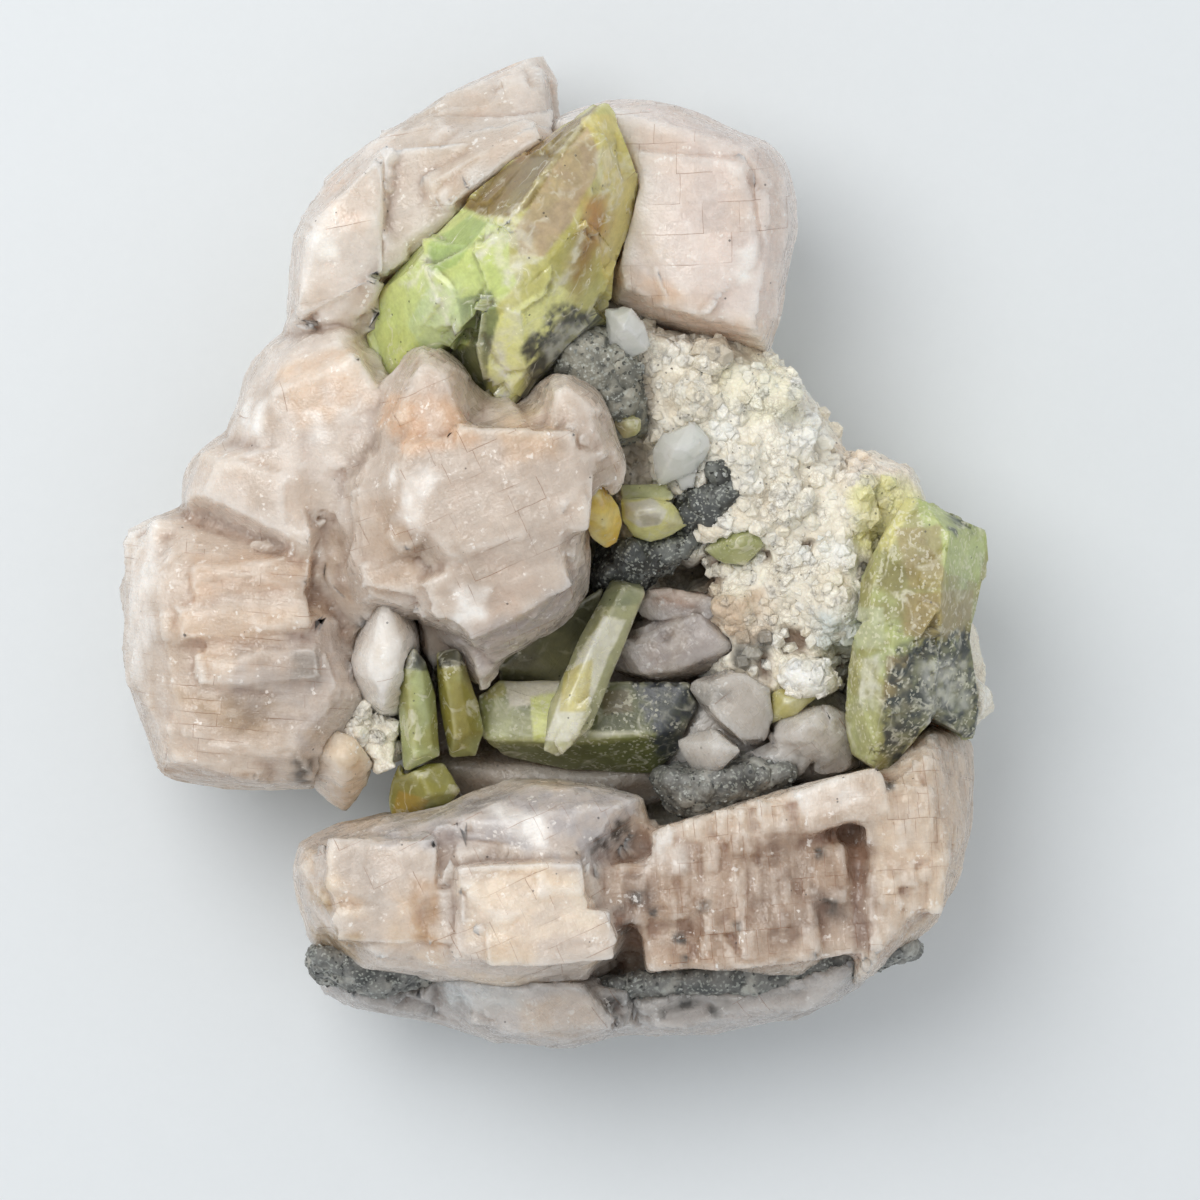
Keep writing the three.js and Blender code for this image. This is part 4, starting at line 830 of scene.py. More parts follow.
CRYSTALS = {
    "adularia_upper_left": dict(
        looks="smooth", turn=(10, 5, 12), codes=("E0D6CD", PINK, "D3C6BA"), step=0.08, flat=0.85, facet=3.4,
        patches=[
            ("C4A788", 0.5, [(42.5, 14.5), (48, 14.5), (48, 20), (43, 21)]),
            (HIGHLIGHT_WHITE, 0.9, [(31.4, 23.8), (33.6, 24), (34, 26), (31.8, 26.2)]),
            (HIGHLIGHT_WHITE, 0.8, [(44.4, 19), (45.2, 19), (45, 21), (44.3, 21)]),
            ("C9BAAA", 0.6, [(39.5, 12), (51, 8), (53, 20), (46, 24), (39.5, 28)]),
            (HIGHLIGHT_WHITE, 0.5, [(46.5, 17), (48, 16.6), (48.4, 19.4), (47, 19.6)]),
            ("B5997C", 0.5, [(33, 33), (39, 27), (42, 29), (38, 33)]),
        ]),
    "adularia_upper_right": dict(
        looks="straight", turn=(4, -6, 2), codes=("E5D9D1", "E0D0C4", "DDD0C8"), step=0.07, flat=0.45,
        facet=3.2, brick=(3.4, 2.2, 3.0),
        patches=[
            ("DDC0A6", 0.7, [(62, 27), (70, 30.5), (77, 33), (76, 36), (68, 34), (61, 30)]),
            (HIGHLIGHT_WHITE, 1.0, [(73.4, 25.2), (75.4, 25.2), (75.2, 28.2), (73.8, 28.4)]),
            (HIGHLIGHT_WHITE, 0.9, [(73, 16.8), (74.4, 17), (74.6, 17.6), (73.2, 17.3)]),
            ("D2C2B8", 0.5, [(66, 11), (76, 14), (79, 18), (76, 22), (69, 16)]),
        ]),
    "adularia_left_shoulder": dict(
        looks="smooth", turn=(6, 4, 12), codes=("DDD2C8", "D6C7B9", "CCBDAF"), step=0.12, flat=0.6,
        patches=[
            ("A98862", 0.8, [(35, 47), (37.5, 47), (38, 50), (35.5, 50.5)]),
            ("B2967A", 0.7, [(33, 53.5), (40, 53), (41, 60), (36, 61.5), (32, 58)]),
            (PEACH, 0.5, [(28, 37), (36, 34), (38, 40), (30, 43)]),
            (HIGHLIGHT_WHITE, 0.9, [(24, 40.6), (26.8, 40), (27, 43.4), (24.6, 44)]),
            (HIGHLIGHT_WHITE, 0.8, [(31, 41.4), (32.8, 41.4), (32.8, 44), (31.2, 44)]),
        ]),
    "adularia_left_lobe": dict(
        looks="layered", turn=(3, 6, -3), codes=("D2C2B3", "D8CCC1", "C4B2A1"), step=0.25, flat=0.5,
        brick=(4.6, 1.7, 3.5), rust_and_shade=0.6,
        patches=[
            ("CDAF94", 0.55, [(19, 55.5), (33, 55), (33, 58), (20, 60)]),
            ("D0B69C", 0.55, [(16, 61.5), (34, 60), (33, 66), (22, 67)]),
            ("B39878", 0.6, [(18, 69), (30, 70), (33, 74), (22, 73)]),
            ("B8ADA6", 0.7, [(24, 65), (35, 61), (36, 72), (31, 75), (24, 70)]),
            (HIGHLIGHT_WHITE, 0.6, [(12.4, 52), (16, 51), (15.4, 66), (13, 68)]),
            ("8F7A66", 0.7, [(22.4, 69.4), (28, 69), (27, 72.6), (24, 73)]),
            ("857F78", 0.6, [(29.4, 65), (32.6, 65), (32.4, 68.4), (29.6, 68)]),
            ("A17E5C", 0.6, [(15, 76), (22, 77), (27, 78), (24, 79), (16, 78)]),
            ("55504A", 0.9, [(29.8, 75.4), (31.8, 75.6), (31.6, 78), (29.8, 77.8)]),
        ]),
    "adularia_centre": dict(
        looks="slanted", turn=(6, 8, 25), codes=("CDBFB2", "CAB8A9", "BEAD9D"), step=0.18, flat=0.6,
        brick=(3.6, 2.6, 3.0),
        patches=[
            ("D4B090", 0.8, [(39, 39.5), (45, 40), (48, 44), (42, 45.5), (38, 43)]),
            (HIGHLIGHT_WHITE, 0.9, [(45.6, 58.4), (49, 58.8), (48.6, 62), (45.4, 62)]),
            ("A9A09C", 0.8, [(44.5, 62.6), (52, 62), (58, 57), (60, 57), (57, 64), (50, 68), (46, 68.5)]),
            ("BFA58C", 0.5, [(36, 50), (41, 50), (43, 58), (38, 60)]),
            (HIGHLIGHT_WHITE, 0.8, [(40, 51.6), (42.4, 47), (44, 48), (41.6, 53)]),
            (HIGHLIGHT_WHITE, 0.8, [(38.8, 46.4), (40.4, 46.4), (40.2, 48.4), (38.9, 48.4)]),
            (PEACH, 0.5, [(50, 42), (55, 41), (56, 46), (51, 47)]),
        ]),
    "adularia_drop": dict(
        looks="smooth", turn=(4, 6, 30), codes=("E9E2DA", "DDD2C6"), step=0.08, flat=0.7, facet=1.2,
    ),
    "adularia_small_wedge": dict(
        looks="smooth", turn=(9, -4, -20), codes=("E6D4C2", "D6BC9E"), step=0.1, flat=0.7, facet=1.2,
    ),
    "adularia_base_front": dict(
        looks="slanted", turn=(8, 3, 4), codes=("D4C7BB", "C9BDB2", "DBC8B3"), step=0.25, flat=0.65,
        brick=(3.4, 2.6, 2.6),
        patches=[
            ("B9B4B4", 0.85, [(40, 80), (64, 78), (64, 86), (58, 87.5), (50, 84), (38, 84)]),
            (HIGHLIGHT_WHITE, 0.95, [(48.6, 80.6), (54.5, 80.6), (54.8, 84.4), (52, 83.6)]),
            ("BC966E", 0.7, [(41, 87.4), (44.5, 88), (44, 94), (41.6, 93)]),
            ("B08F5C", 0.8, [(31.5, 88), (33.5, 88), (33.5, 90.5), (31.5, 90.5)]),
            ("AE8F62", 0.7, [(31.5, 92.5), (36, 92.5), (36, 96), (32, 96)]),
            ("F1E2CE", 0.6, [(46, 87.4), (59, 86), (60, 93), (47, 94)]),
        ],
        dots=[(62.2, 82.4, 1.4), (61.6, 83.4, 1.1), (60.2, 84.1, 1.0), (59.3, 84.6, 0.9)]),
    "adularia_base_right": dict(
        looks="columns", turn=(-8, 6, 4), codes=("CBBBAB", "D4C6B8", "BBA896"), step=0.6, flat=0.3,
        brick=(1.0, 2.2, 1.7), rust_and_shade=0.7,
        patches=[
            ("A88C76", 0.6, [(59, 87), (68, 84), (84, 82.4), (87, 84), (87, 94), (80, 96), (60, 97.5)]),
            ("806756", 0.5, [(76, 84), (80, 83), (82, 92), (78, 95), (75, 90)]),
            ("7A6258", 0.6, [(84.8, 83.6), (86.8, 83.6), (87, 95), (85.2, 95)]),
            ("6B5A50", 0.7, [(62, 87), (65.4, 87.4), (64.8, 91.4), (62, 91)]),
            ("6B5A50", 0.7, [(59.4, 90.6), (63.2, 91), (63.8, 95), (60.4, 94.8)]),
            ("6B5A50", 0.6, [(81, 88.4), (84.4, 88.4), (84.2, 92), (81.2, 92.2)]),
            ("DFCDBB", 0.7, [(62, 83), (70, 80), (85, 77), (86, 80), (72, 84), (63, 86)]),
            ("EAE4DE", 0.7, [(78.4, 77), (84.6, 75.8), (86, 80), (81, 81.4), (78.6, 80.6)]),
            ("E6DFD8", 0.6, [(63, 84.4), (68.4, 82.6), (68.8, 86.4), (64, 87)]),
            ("EFEAE4", 0.7, [(88.6, 81), (92, 80.6), (92.4, 84), (89, 84.6)]),
            ("DAC6B0", 0.75, [(87, 75), (96.5, 76), (96, 88), (91, 95), (87.6, 90)]),
        ],
        dots=[
            (63.6, 89.4, 1.3), (62.5, 92.5, 1.2), (60.9, 91.8, 1.1), (60, 94.1, 1.0), (62, 96.6, 0.9),
            (67.9, 93.4, 1.2), (70.4, 90.2, 1.1), (73.5, 92.3, 0.9), (68.4, 95.7, 1.0), (82.7, 90.3, 1.5),
            (81.7, 84.9, 1.1), (82.8, 83.3, 1.0), (88.7, 78.3, 0.8), (61.8, 90.6, 0.9), (65.4, 91, 0.8),
        ]),
    "adularia_lower_rim": dict(
        looks="grey", turn=(5, 7, 3), codes=("CCC4BE", "BAB3AE", "D7D0CB"), step=0.4, flat=0.8,
        patches=[
            ("DCDEDC", 0.8, [(43.6, 96.4), (52, 97), (53, 100.4), (45, 100.6)]),
            ("DDCBB9", 0.7, [(51.6, 99.4), (60, 98.6), (59.6, 103.6), (53, 104)]),
            ("D8CEC8", 0.7, [(72, 98), (77, 98), (77, 102), (72.4, 102)]),
            ("77746F", 0.75, [(58, 97), (76, 97.5), (80, 99), (70, 101), (60, 101)]),
            ("85817F", 0.55, [(31, 96.6), (43, 98.4), (43.4, 101.4), (33, 99.8)]),
        ],
        dots=[
            (34.8, 98.2, 1.2), (38.6, 98.8, 1.5), (41.5, 98.6, 1.3), (40, 99.8, 1.0), (61.1, 100, 1.5),
            (62.3, 101.8, 0.9), (66.3, 100.9, 1.2), (68.6, 100, 1.3), (71.5, 100.9, 1.0),
        ]),
    "adularia_hollow_floor": dict(
        looks="grey", turn=(14, -9, 33), codes=("BCAE9F", "A6998C", "C4B3A3"), step=0.12, flat=0.85,
        facet=1.3,
        patches=[
            ("BFA08E", 0.8, [(64, 55), (72, 55), (72, 60.5), (64, 60.5)]),
            ("B7AFAE", 0.7, [(60, 60), (74, 60), (74, 67), (60, 67)]),
            ("5C5C57", 0.7, [(73, 63.5), (77, 63.5), (77, 66.5), (73, 66.5)]),
        ]),
    "adularia_grey_cluster": dict(
        looks="grey", turn=(14, -9, 33), codes=("D0C8BF", ASH, "DED7CF"), step=0.1, flat=0.85, facet=1.3,
        patches=[
            ("6E6F6C", 0.7, [(65, 76), (72, 78.5), (80, 75.5), (79.5, 79), (72, 82), (65, 80)]),
            ("777876", 0.6, [(68, 69), (72, 67), (73, 69.4), (69.4, 72)]),
        ]),
}
print("feldspar crystals:", len(CRYSTALS))

# %% [markdown]
# ### The feldspar recipe
#
# The recipe moves each corner of a skin in three ways: into the flat facets of a break, up or down
# with the brick that it is on, and with a faint swell, so that no face is dead flat. A displacement
# modifier with a texture would do that too, but numbers that are worked out here can differ from
# crystal to crystal and fade from one to the next.

# %% The feldspar recipe
SWELL = 0.3         # closes the narrow joints between neighbours, in mm
WAVE = (0.45, 6.0)  # height and width of the slow swell
GRAIN = (0.04, 0.8)
FADE = 0.5          # how far one crystal's recipe reaches into the next
STEEP = 0.4         # height of the steps on steep sides, which have weathered smooth, as a share
LARGE, MIDDLE, FINE = 1.4, 0.9, 0.6  # sizes of bricks and facets, in the crystal's own brick


def shaped_like(points, normals, crystal, seed):
    """How each place of the skin moves, by one crystal's way of breaking"""
    turn, size = crystal["turn"], np.array(crystal.get("brick", (3.0, 2.4, 2.6)))
    broken = 0.3 + 0.7 * ease(noise(points, 9, seed + 3), -0.5, 0.3)
    large = bricks(points, turn, LARGE * size, seed, 1.2)
    fine = bricks(points, turn, FINE * size, seed + 20, 1.2)
    facets = chiselled(points, normals, turn, crystal.get("facet", 2.2) * size, seed + 40)
    small = chiselled(points + facets, normals, turn, MIDDLE * size, seed + 50)
    flattened = crystal["flat"] * facets + 0.6 * (broken * crystal["flat"])[:, None] * small
    upward = STEEP + (1 - STEEP) * ease(normals[:, 2], 0.1, 0.6)
    stepped = crystal["step"] * broken * upward * (large + 0.4 * fine)
    return flattened + normals * stepped[:, None]


def square(x, y, size):
    """The outline of a square around a place on the plan"""
    half = size / 2
    return [(x - half, y - half), (x + half, y - half), (x + half, y + half), (x - half, y + half)]


def coloured_like(points, crystal, seed):
    """The colours of one crystal: its drift, its patches and its dark dots"""
    colours = natural_tint(points, crystal["codes"], seed)
    colours = with_patches(colours, points, crystal.get("patches", ()), seed)
    dots = [(SOOT, 0.9, square(*dot)) for dot in crystal.get("dots", ())]
    return with_patches(colours, points, dots, seed + 7, wander=0.5, soft=0.3, mottle=0.5, spots=0.8)


def feldspar_skin(name, nodes, seed, voxel=0.42, closing=0.7, most=190000):
    """One skin for some crystals, broken, coloured and finished in each one's own way"""
    rounds = 1 if closing else 0
    piece, mesh, points, normals = skin_and_corners(nodes, name, voxel, rounds, closing)
    far = distances_to(nodes, points)
    share = np.exp(-(far - far.min(axis=1, keepdims=True)) / FADE)
    share /= share.sum(axis=1, keepdims=True)
    points = points + normals * (SWELL + WAVE[0] * rough_noise(points, WAVE[1], seed))[:, None]
    moved = points + normals * (GRAIN[0] * rough_noise(points, GRAIN[1], seed + 4))[:, None]
    colours, rust_and_shade = 0, 0
    for k, node in enumerate(nodes):
        crystal, part = CRYSTALS[node], share[:, [k]]
        moved += part * shaped_like(points, normals, crystal, seed + 31 * k)
        colours = colours + part * coloured_like(points, crystal, seed + 31 * k)
        rust_and_shade = rust_and_shade + share[:, k] * crystal.get("rust_and_shade", 0.3)
    moved[:, 2] = np.maximum(moved[:, 2], 0)
    write(mesh, moved)
    # hollows darkened as rust with painted shade, and edges made paler as a painted highlight with wear
    store_tint(mesh, with_hollow_shade_and_edge_light(colours, mesh, RUST_AND_SHADE, rust_and_shade, edge_light=0.15))
    corners = np.array([face.vertices[0] for face in mesh.polygons])
    mesh.polygons.foreach_set("material_index", far.argmin(axis=1)[corners].astype(np.int32))
    looks = [FELDSPAR[CRYSTALS[node]["looks"]] for node in nodes]
    return keep(piece, looks, nodes, most=most)


print("steps on steep sides stand", STEEP, "times as high as on level ones")

# %% [markdown]
# ### Making the feldspars
#
# Between the four crystals at the left, and between the two halves of the base, the joint is only a
# shallow valley, so each of these families shares a skin. The other six stand apart, with a deep joint
# around them, and get a skin each.

# %% Feldspar that has grown together
feldspar_skin(
    "feldspar_of_the_left",
    ("adularia_upper_left", "adularia_left_shoulder", "adularia_left_lobe", "adularia_centre"), 101,
)
feldspar_skin(
    "feldspar_of_the_base", ("adularia_base_front", "adularia_base_right"), 171,
    voxel=0.38, most=118000,
)

# %% Feldspar crystals on their own
for k, (node, slot, voxel, most) in enumerate((
    ("adularia_upper_right", "adularia", 0.42, 36000),
    ("adularia_drop", "adularia", 0.35, 12000),
    ("adularia_small_wedge", "adularia", 0.35, 8000),
    ("adularia_lower_rim", "adularia_grey", 0.42, 28000),
    ("adularia_hollow_floor", "adularia_grey", 0.36, 24000),
    ("adularia_grey_cluster", "adularia_grey", 0.32, 27000),
)):
    feldspar_skin(node + "_skin", (node,), 201 + 10 * k, voxel, closing=0, most=most)

# %% [markdown]
# ## Titanite
#
# Titanite grows as flat wedges and is green to honey-brown, half clear, with a gloss near that of
# diamond. Inside it are white veils, which are healed cracks, and along its faces run fine growth
# lines. Veils and growth lines come from two more groups. The half-clear look comes from giving the
# shader a plain part of transmission, some scattering inside and a high index of refraction.

# %% Growth lines and veils
ALONG = (1, 0.06, 0.12)  # stretches noise into lines along the crystal's second direction

GROWTH, given = effect(
    "Growth lines",
    [("Place", "Vector", (0, 0, 0)), ("Fineness", "Float", 3.0)],
    [("Line", "Float")],
)
stretched = vectors(GROWTH, "MULTIPLY", given["Place"], ALONG)
streak = clouds(GROWTH, stretched, given["Fineness"], 2.0)[0]
hand_out(GROWTH, Line=ranged(GROWTH, streak, 0, 1, 0.35, 0.65))

VEILS, given = effect(
    "White veils",
    [("Place", "Vector", (0, 0, 0)), ("Share", "Float", 0.5), ("Width", "Float", 0.04)],
    [("Veil", "Float")],
)
sheet = clouds(VEILS, given["Place"], 0.26, 3.0, Distortion=0.6)[0]
away = maths(VEILS, "ABSOLUTE", maths(VEILS, "SUBTRACT", sheet, 0.5))
near = ranged(VEILS, away, 1.0, 0.0, 0.0, given["Width"])
part = ranged(VEILS, clouds(VEILS, given["Place"], 0.5, 5.0)[0], 0, 1, 0.44, 0.62)
hand_out(VEILS, Veil=product(VEILS, near, part, given["Share"], clamp=True))

# %% [markdown]
# ### Titanite, from the wedge to honey
#
# Fully clear glass would look empty here, because real titanite is full of healed cracks. So only a
# small part of the light goes straight through, much of it scatters inside, and white veils lie over
# the colour, with sparks that are painted glints. Five versions of one material cover the crystals,
# from the glossy wedge to the duller broken plates.

# %% Titanite material
VEIL_AND_GLINT_WHITE = paint("F3F0DC")
SPARK_STRENGTH = 0.45


def titanite(name, turn, clear=0.15, rough=0.14, veils=0.7, fineness=3.0, glow=0.5, glint_start=0.56):
    """Half-clear titanite; `glow` is how much light scatters inside, and the last argument is where the
    sparks, which are painted glints, begin
    """
    material, tree, shader = material_with(
        name, Transmission_Weight=clear, IOR=1.9, Specular_IOR_Level=0.3, Subsurface_Weight=glow,
        Subsurface_Scale=0.0035, Subsurface_Radius=(1.0, 0.95, 0.5),
    )
    place = place_in(tree, turn, wander=0.25)
    mottled = use(tree, MOTTLE, Place=place, Colour=stored_tint(tree), Strength=0.5, Dot_share=0.06)
    line = use(tree, GROWTH, Place=place, Fineness=fineness)["Line"]
    veil = use(tree, VEILS, Place=place, Share=veils)["Veil"]
    flaw = use(tree, CLEAVAGE, Place=place, Brick=(4.1, 3.6, 4.7), Line_width=0.08, Line_share=0.25)
    spark = use(tree, GLINTS, Place=place, Size=0.26, Share=0.16)["Glint"]
    glint_zone = ranged(tree, clouds(tree, place, 0.34, 3.0)[0], 0.0, 1.0, glint_start, glint_start + 0.1)
    # the veils are the crystal's own white; the sparks are painted glints
    white = maths(tree, "MAXIMUM", veil, product(tree, spark, SPARK_STRENGTH, glint_zone))
    tree.links.new(mixed(tree, white, mottled["Colour"], VEIL_AND_GLINT_WHITE), shader.inputs["Base Color"])
    polish = ranged(tree, line, rough - 0.05, rough + 0.05)
    tree.links.new(weighted(tree, (polish, 1.0), (white, 0.3)), shader.inputs["Roughness"])
    relief = weighted(tree, (line, 0.008), (mottled["Speck"], 0.03), (flaw["Slope"], 0.25))
    bumped(tree, shader, relief, 1.0)
    return material


TITANITE = {
    "wedge": titanite("Titanite of the wedge", (0, 0, 32), rough=0.12, veils=0.5, glow=0.8, glint_start=0.6),
    "plates": titanite("Titanite of the plates", (10, 20, 70), clear=0.1, rough=0.36, veils=0.6, glint_start=0.4),
    "blade": titanite("Titanite of the blades", (0, 12, 84), rough=0.22, fineness=4.0),
    "dark": titanite("Dark titanite", (5, 8, 60), veils=0.2, glow=0.3),
    "honey": titanite("Honey titanite", (0, 0, 12), clear=0.3, rough=0.1, veils=0.4),
}
print("titanites:", ", ".join(TITANITE))

# %% [markdown]
# Crystal faces are flat, so a titanite gets a much finer skin than the feldspar and hardly any
# smoothing: its edges stay crisp. The two large ones have broken faces, which are pressed into
# facets. The growth lines stand a few hundredths of a millimetre proud, and small chips are taken
# off the edges, where a real crystal has been knocked. The edges are also painted paler, which is a
# painted highlight along the ridges together with the pale of the chips, and the hollows are painted
# darker, which is painted shade together with earth. Patches are parts of another colour, blushes are
# the same with a wide soft edge, and coats are crusts, frosty scratches and painted highlights on top.

# %% The titanite recipe
TITANITE_SWELL = 0.12  # in mm
# a painted highlight: titanite edges are made paler towards this colour, along with the pale of chips
RIDGE_HIGHLIGHT = paint("F1EDD2")
# earth and painted shade: the hollows of a titanite are darkened towards this colour
EARTH_AND_SHADE = "6B5A3C"


def titanite_crystal(
    node, material, turn, codes, seed, voxel=0.24, rounds=1, closing=0.0, ridge=0.02,
    chip=0.35, wave=0.12, facet=(), patches=(), blushes=(), coats=(), rust_and_shade=0.35, most=0,
):
    """One crystal: `ridge`, `chip` and `wave` are heights in mm, `facet` the facets' size"""
    piece, mesh, points, normals = skin_and_corners([node], node + "_skin", voxel, rounds, closing)
    edge = ease(-hollowness(mesh, 4), 0.02, 0.1)
    local = points @ directions(turn) * ALONG
    points = points + normals * (TITANITE_SWELL + wave * rough_noise(points, 4, seed))[:, None]
    if facet:
        points = points + chiselled(points, normals, turn, facet, seed + 9)
    out = ridge * rough_noise(local, 0.7, seed + 1, 2)
    out -= chip * edge * ease(noise(points, 0.9, seed + 2), 0.1, 0.6)
    write(mesh, points + normals * out[:, None])
    colours = natural_tint(points, codes, seed, 3.0)
    colours = with_patches(colours, points, patches, seed, wander=0.25, soft=0.15, mottle=0.15)
    colours = with_patches(colours, points, blushes, seed + 3, wander=0.6, soft=1.6, mottle=0.3)
    # edges painted paler: a painted highlight along the ridges, with the pale of the chips
    colours = towards(colours, RIDGE_HIGHLIGHT, 0.35 * edge)
    colours = with_patches(colours, points, coats, seed + 5, soft=0.4, mottle=0.8, spots=0.7)
    # hollows darkened: painted shade together with earth
    store_tint(mesh, with_hollow_shade_and_edge_light(colours, mesh, EARTH_AND_SHADE, rust_and_shade, 0.12))
    return keep(piece, [TITANITE[material]], [node], most=most)


# %% [markdown]
# ### The large wedge
#
# The large crystal is olive on its left face, pinkish on the narrow face next to it, yellow-green on
# the right and pale green in the body that leans against it. An orange-brown blush shows where it is
# clear, and grey dust coats its foot. The solid has its main faces; the colours are placed on them.

# %% The large wedge
GREEN = "D6E494"
LIME = "FCFCAE"
OLIVE = "7A5C0C"
# white frost and painted highlights: streaks along facet borders and edges where light catches them
FROST_AND_HIGHLIGHT = "F4F1DE"
COATING = "53544C"

titanite_crystal(
    "titanite_main", "wedge", (0, 0, 32), ("D2CE84", "C6BE6C"), 301, voxel=0.26, rounds=0,
    wave=0.35, facet=(5.0, 8.0, 6.0), most=84000,
    patches=[
        (OLIVE, 0.9, [(60, 11), (59.2, 13), (55.5, 18), (53, 21.5), (51.5, 22.5), (47.5, 22), (46, 21),
                      (50, 17.6), (54, 15)]),
        (GREEN, 0.9, [(46, 21), (51.2, 23.4), (51, 27), (52, 29), (48, 33), (46, 36), (42, 35), (40, 38),
                      (38, 40.7), (36.6, 39.5), (37, 33), (40, 27)]),
        ("9FBA6E", 0.7, [(43, 25), (47, 22), (49, 23), (46, 27), (43.4, 28)]),
        ("C9D9A4", 0.7, [(43.4, 28.6), (46, 29.4), (47, 34), (43, 36), (41, 33)]),
        ("8F9C6C", 0.9, [(46, 30.4), (49.4, 29.6), (50.4, 33.4), (48, 35.4), (46.6, 33.6)]),
        # the recessed V between body and prism: its own grey-green made darker as painted shade
        ("7B7F62", 0.9, [(48.6, 33.6), (49.6, 34), (48.6, 40), (50.6, 41), (47.6, 40), (45.2, 36.2)]),
        (LIME, 0.9, [(50.4, 32), (55.5, 29), (58, 30), (55.4, 33), (53.7, 36), (51.8, 41), (50, 41),
                     (48.9, 37), (49.8, 33)]),
        ("DCCB78", 0.8, [(58, 12.5), (61.7, 12.2), (63.7, 18.3), (63.2, 22), (61, 30.5), (59.6, 25),
                         (60.4, 18)]),
        ("C6B090", 0.95, [(58.8, 13.6), (59.9, 16), (59.6, 18.6), (58.3, 20.6), (57.3, 23), (54.5, 26.4),
                          (52, 26.2), (51.7, 23.8), (53.2, 21.3), (55.7, 17.3)]),
        ("A0703C", 0.6, [(51, 16.2), (55, 13.6), (56.4, 13.4), (52, 17)]),
        ("8B8C6A", 0.8, [(56.4, 32.2), (57.8, 32.2), (60, 33.5), (58.2, 38.2), (54.5, 39), (54, 41),
                         (52, 40.5), (54, 35.5)]),
    ],
    blushes=[
        ("9C6A1E", 0.9, [(58.8, 20.6), (60.4, 20.4), (60.4, 24.5), (58.8, 28), (57.2, 30), (57, 27)]),
        ("D0901C", 0.9, [(58.8, 21.4), (59.8, 21.4), (59.6, 24), (58.6, 24)]),
        ("7E5C20", 0.6, [(47.5, 21), (54, 15.4), (55, 15.6), (50, 20.6)]),
        ("F4F8C0", 0.5, [(51, 33), (54, 31), (53, 35), (51.4, 38.6)]),
        ("E8F0C0", 0.5, [(43, 29), (46, 29), (46, 33), (43.4, 34)]),
    ],
    coats=[
        (COATING, 1.0, [(54.6, 31.4), (57.8, 31), (61, 32), (60, 38.6), (54.5, 40), (54, 41.6),
                        (51.8, 41), (53, 36)]),
        ("C9C8BC", 0.8, [(55.6, 32.4), (60, 33), (58, 38), (54, 39)]),
        (FROST_AND_HIGHLIGHT, 0.9, [(47.3, 26.1), (49, 24.2), (50.4, 23.2), (50.2, 24.1), (48.4, 26.2)]),
        (FROST_AND_HIGHLIGHT, 0.9, [(50.6, 29.4), (51.5, 26.8), (54.2, 26.2), (52.4, 27.4), (51.2, 29.6)]),
        (FROST_AND_HIGHLIGHT, 0.8, [(42.4, 25.8), (43.1, 25.8), (44.4, 30), (45.9, 34), (45.2, 34), (43.5, 30)]),
        (FROST_AND_HIGHLIGHT, 0.7, [(57, 26), (58.4, 23.8), (58.4, 26), (56, 29.8), (55.4, 29.6)]),
        (FROST_AND_HIGHLIGHT, 0.7, [(40.4, 28.8), (42.6, 26.6), (42.9, 27.2), (40.9, 29.4)]),
        (FROST_AND_HIGHLIGHT, 0.6, [(49.4, 22.4), (52.6, 21.2), (53.4, 26.6), (51.4, 30), (49.6, 26)]),
        (FROST_AND_HIGHLIGHT, 1.0, [(50.2, 35), (51, 35), (51.6, 40), (51, 40.6)]),
        (FROST_AND_HIGHLIGHT, 0.45, [(59.8, 16), (61.6, 15), (62.8, 20), (60.4, 22)]),
        (FROST_AND_HIGHLIGHT, 0.5, [(50.4, 31), (52, 30), (51, 40), (49.4, 36)]),
        (FROST_AND_HIGHLIGHT, 0.25, [(55, 15.4), (59.6, 12.6), (59.8, 14), (55.4, 17)]),
    ],
)

# %% [markdown]
# ### The broken plates on the right
#
# A stack of plates has been broken across here. It has large dull facets, a dark crust of chlorite at
# its lower end and paler splinters at its upper end. The plates lie so close that their skin is closed
# over the gaps first.

# %% The broken plates on the right
titanite_crystal(
    "titanite_right", "plates", (10, 20, 70), ("AFAC72", "948E58", "B6BE84"), 311,
    rounds=0, closing=0.35, wave=0.4, facet=(3.6, 5.0, 4.0), most=60000,
    patches=[
        ("DDD792", 0.9, [(85, 48), (91.5, 50), (88.6, 55), (85.8, 55)]),
        ("BFCB86", 0.9, [(91.4, 49.8), (98.6, 53.2), (97.6, 58.4), (94.4, 57.4), (92, 54)]),
        ("A08C5A", 0.7, [(89.2, 53), (93.6, 52.6), (94, 59), (90.4, 59)]),
        ("A08A5C", 0.7, [(90, 59.4), (97, 59), (96.8, 64), (90, 63.6)]),
        ("CDD3AE", 0.8, [(85.4, 60.6), (88.2, 60.8), (88, 64.6), (85.4, 64.8)]),
        ("8A7656", 0.9, [(88.2, 65.4), (91.2, 65.6), (90.8, 71.2), (88, 70.6)]),
        ("BDC089", 0.8, [(84.4, 69.4), (87.6, 69.8), (87.6, 77), (84.9, 75)]),
        ("7C7F6C", 0.7, [(91, 64.6), (97.6, 64), (97.8, 74), (92, 72.4), (88.5, 77), (88, 73)]),
    ],
    coats=[
        ("3C423E", 1.0, [(89.4, 64.4), (97.6, 62.6), (98, 74), (92, 73), (88.5, 77.4), (87.4, 72)]),
        ("E8E8DC", 0.5, [(91.6, 66), (96.6, 65.6), (96.6, 71), (92, 71)]),
        ("E4E4D4", 0.8, [(85.6, 65.6), (88, 65), (87.6, 71), (85.2, 71)]),
        ("565E4C", 1.0, [(93.6, 50.4), (97, 51.4), (97.6, 53.4), (94.6, 53.4)]),
    ],
)

# %% [markdown]
# ### The blades and prisms in the hollow
#
# Smaller titanites lie in the hollow: two blades that cross, a dark plate behind them, two prisms with
# dark caps, and splinters. Their faces are small and whole, so they keep the flat faces of their
# solids and differ by colour.

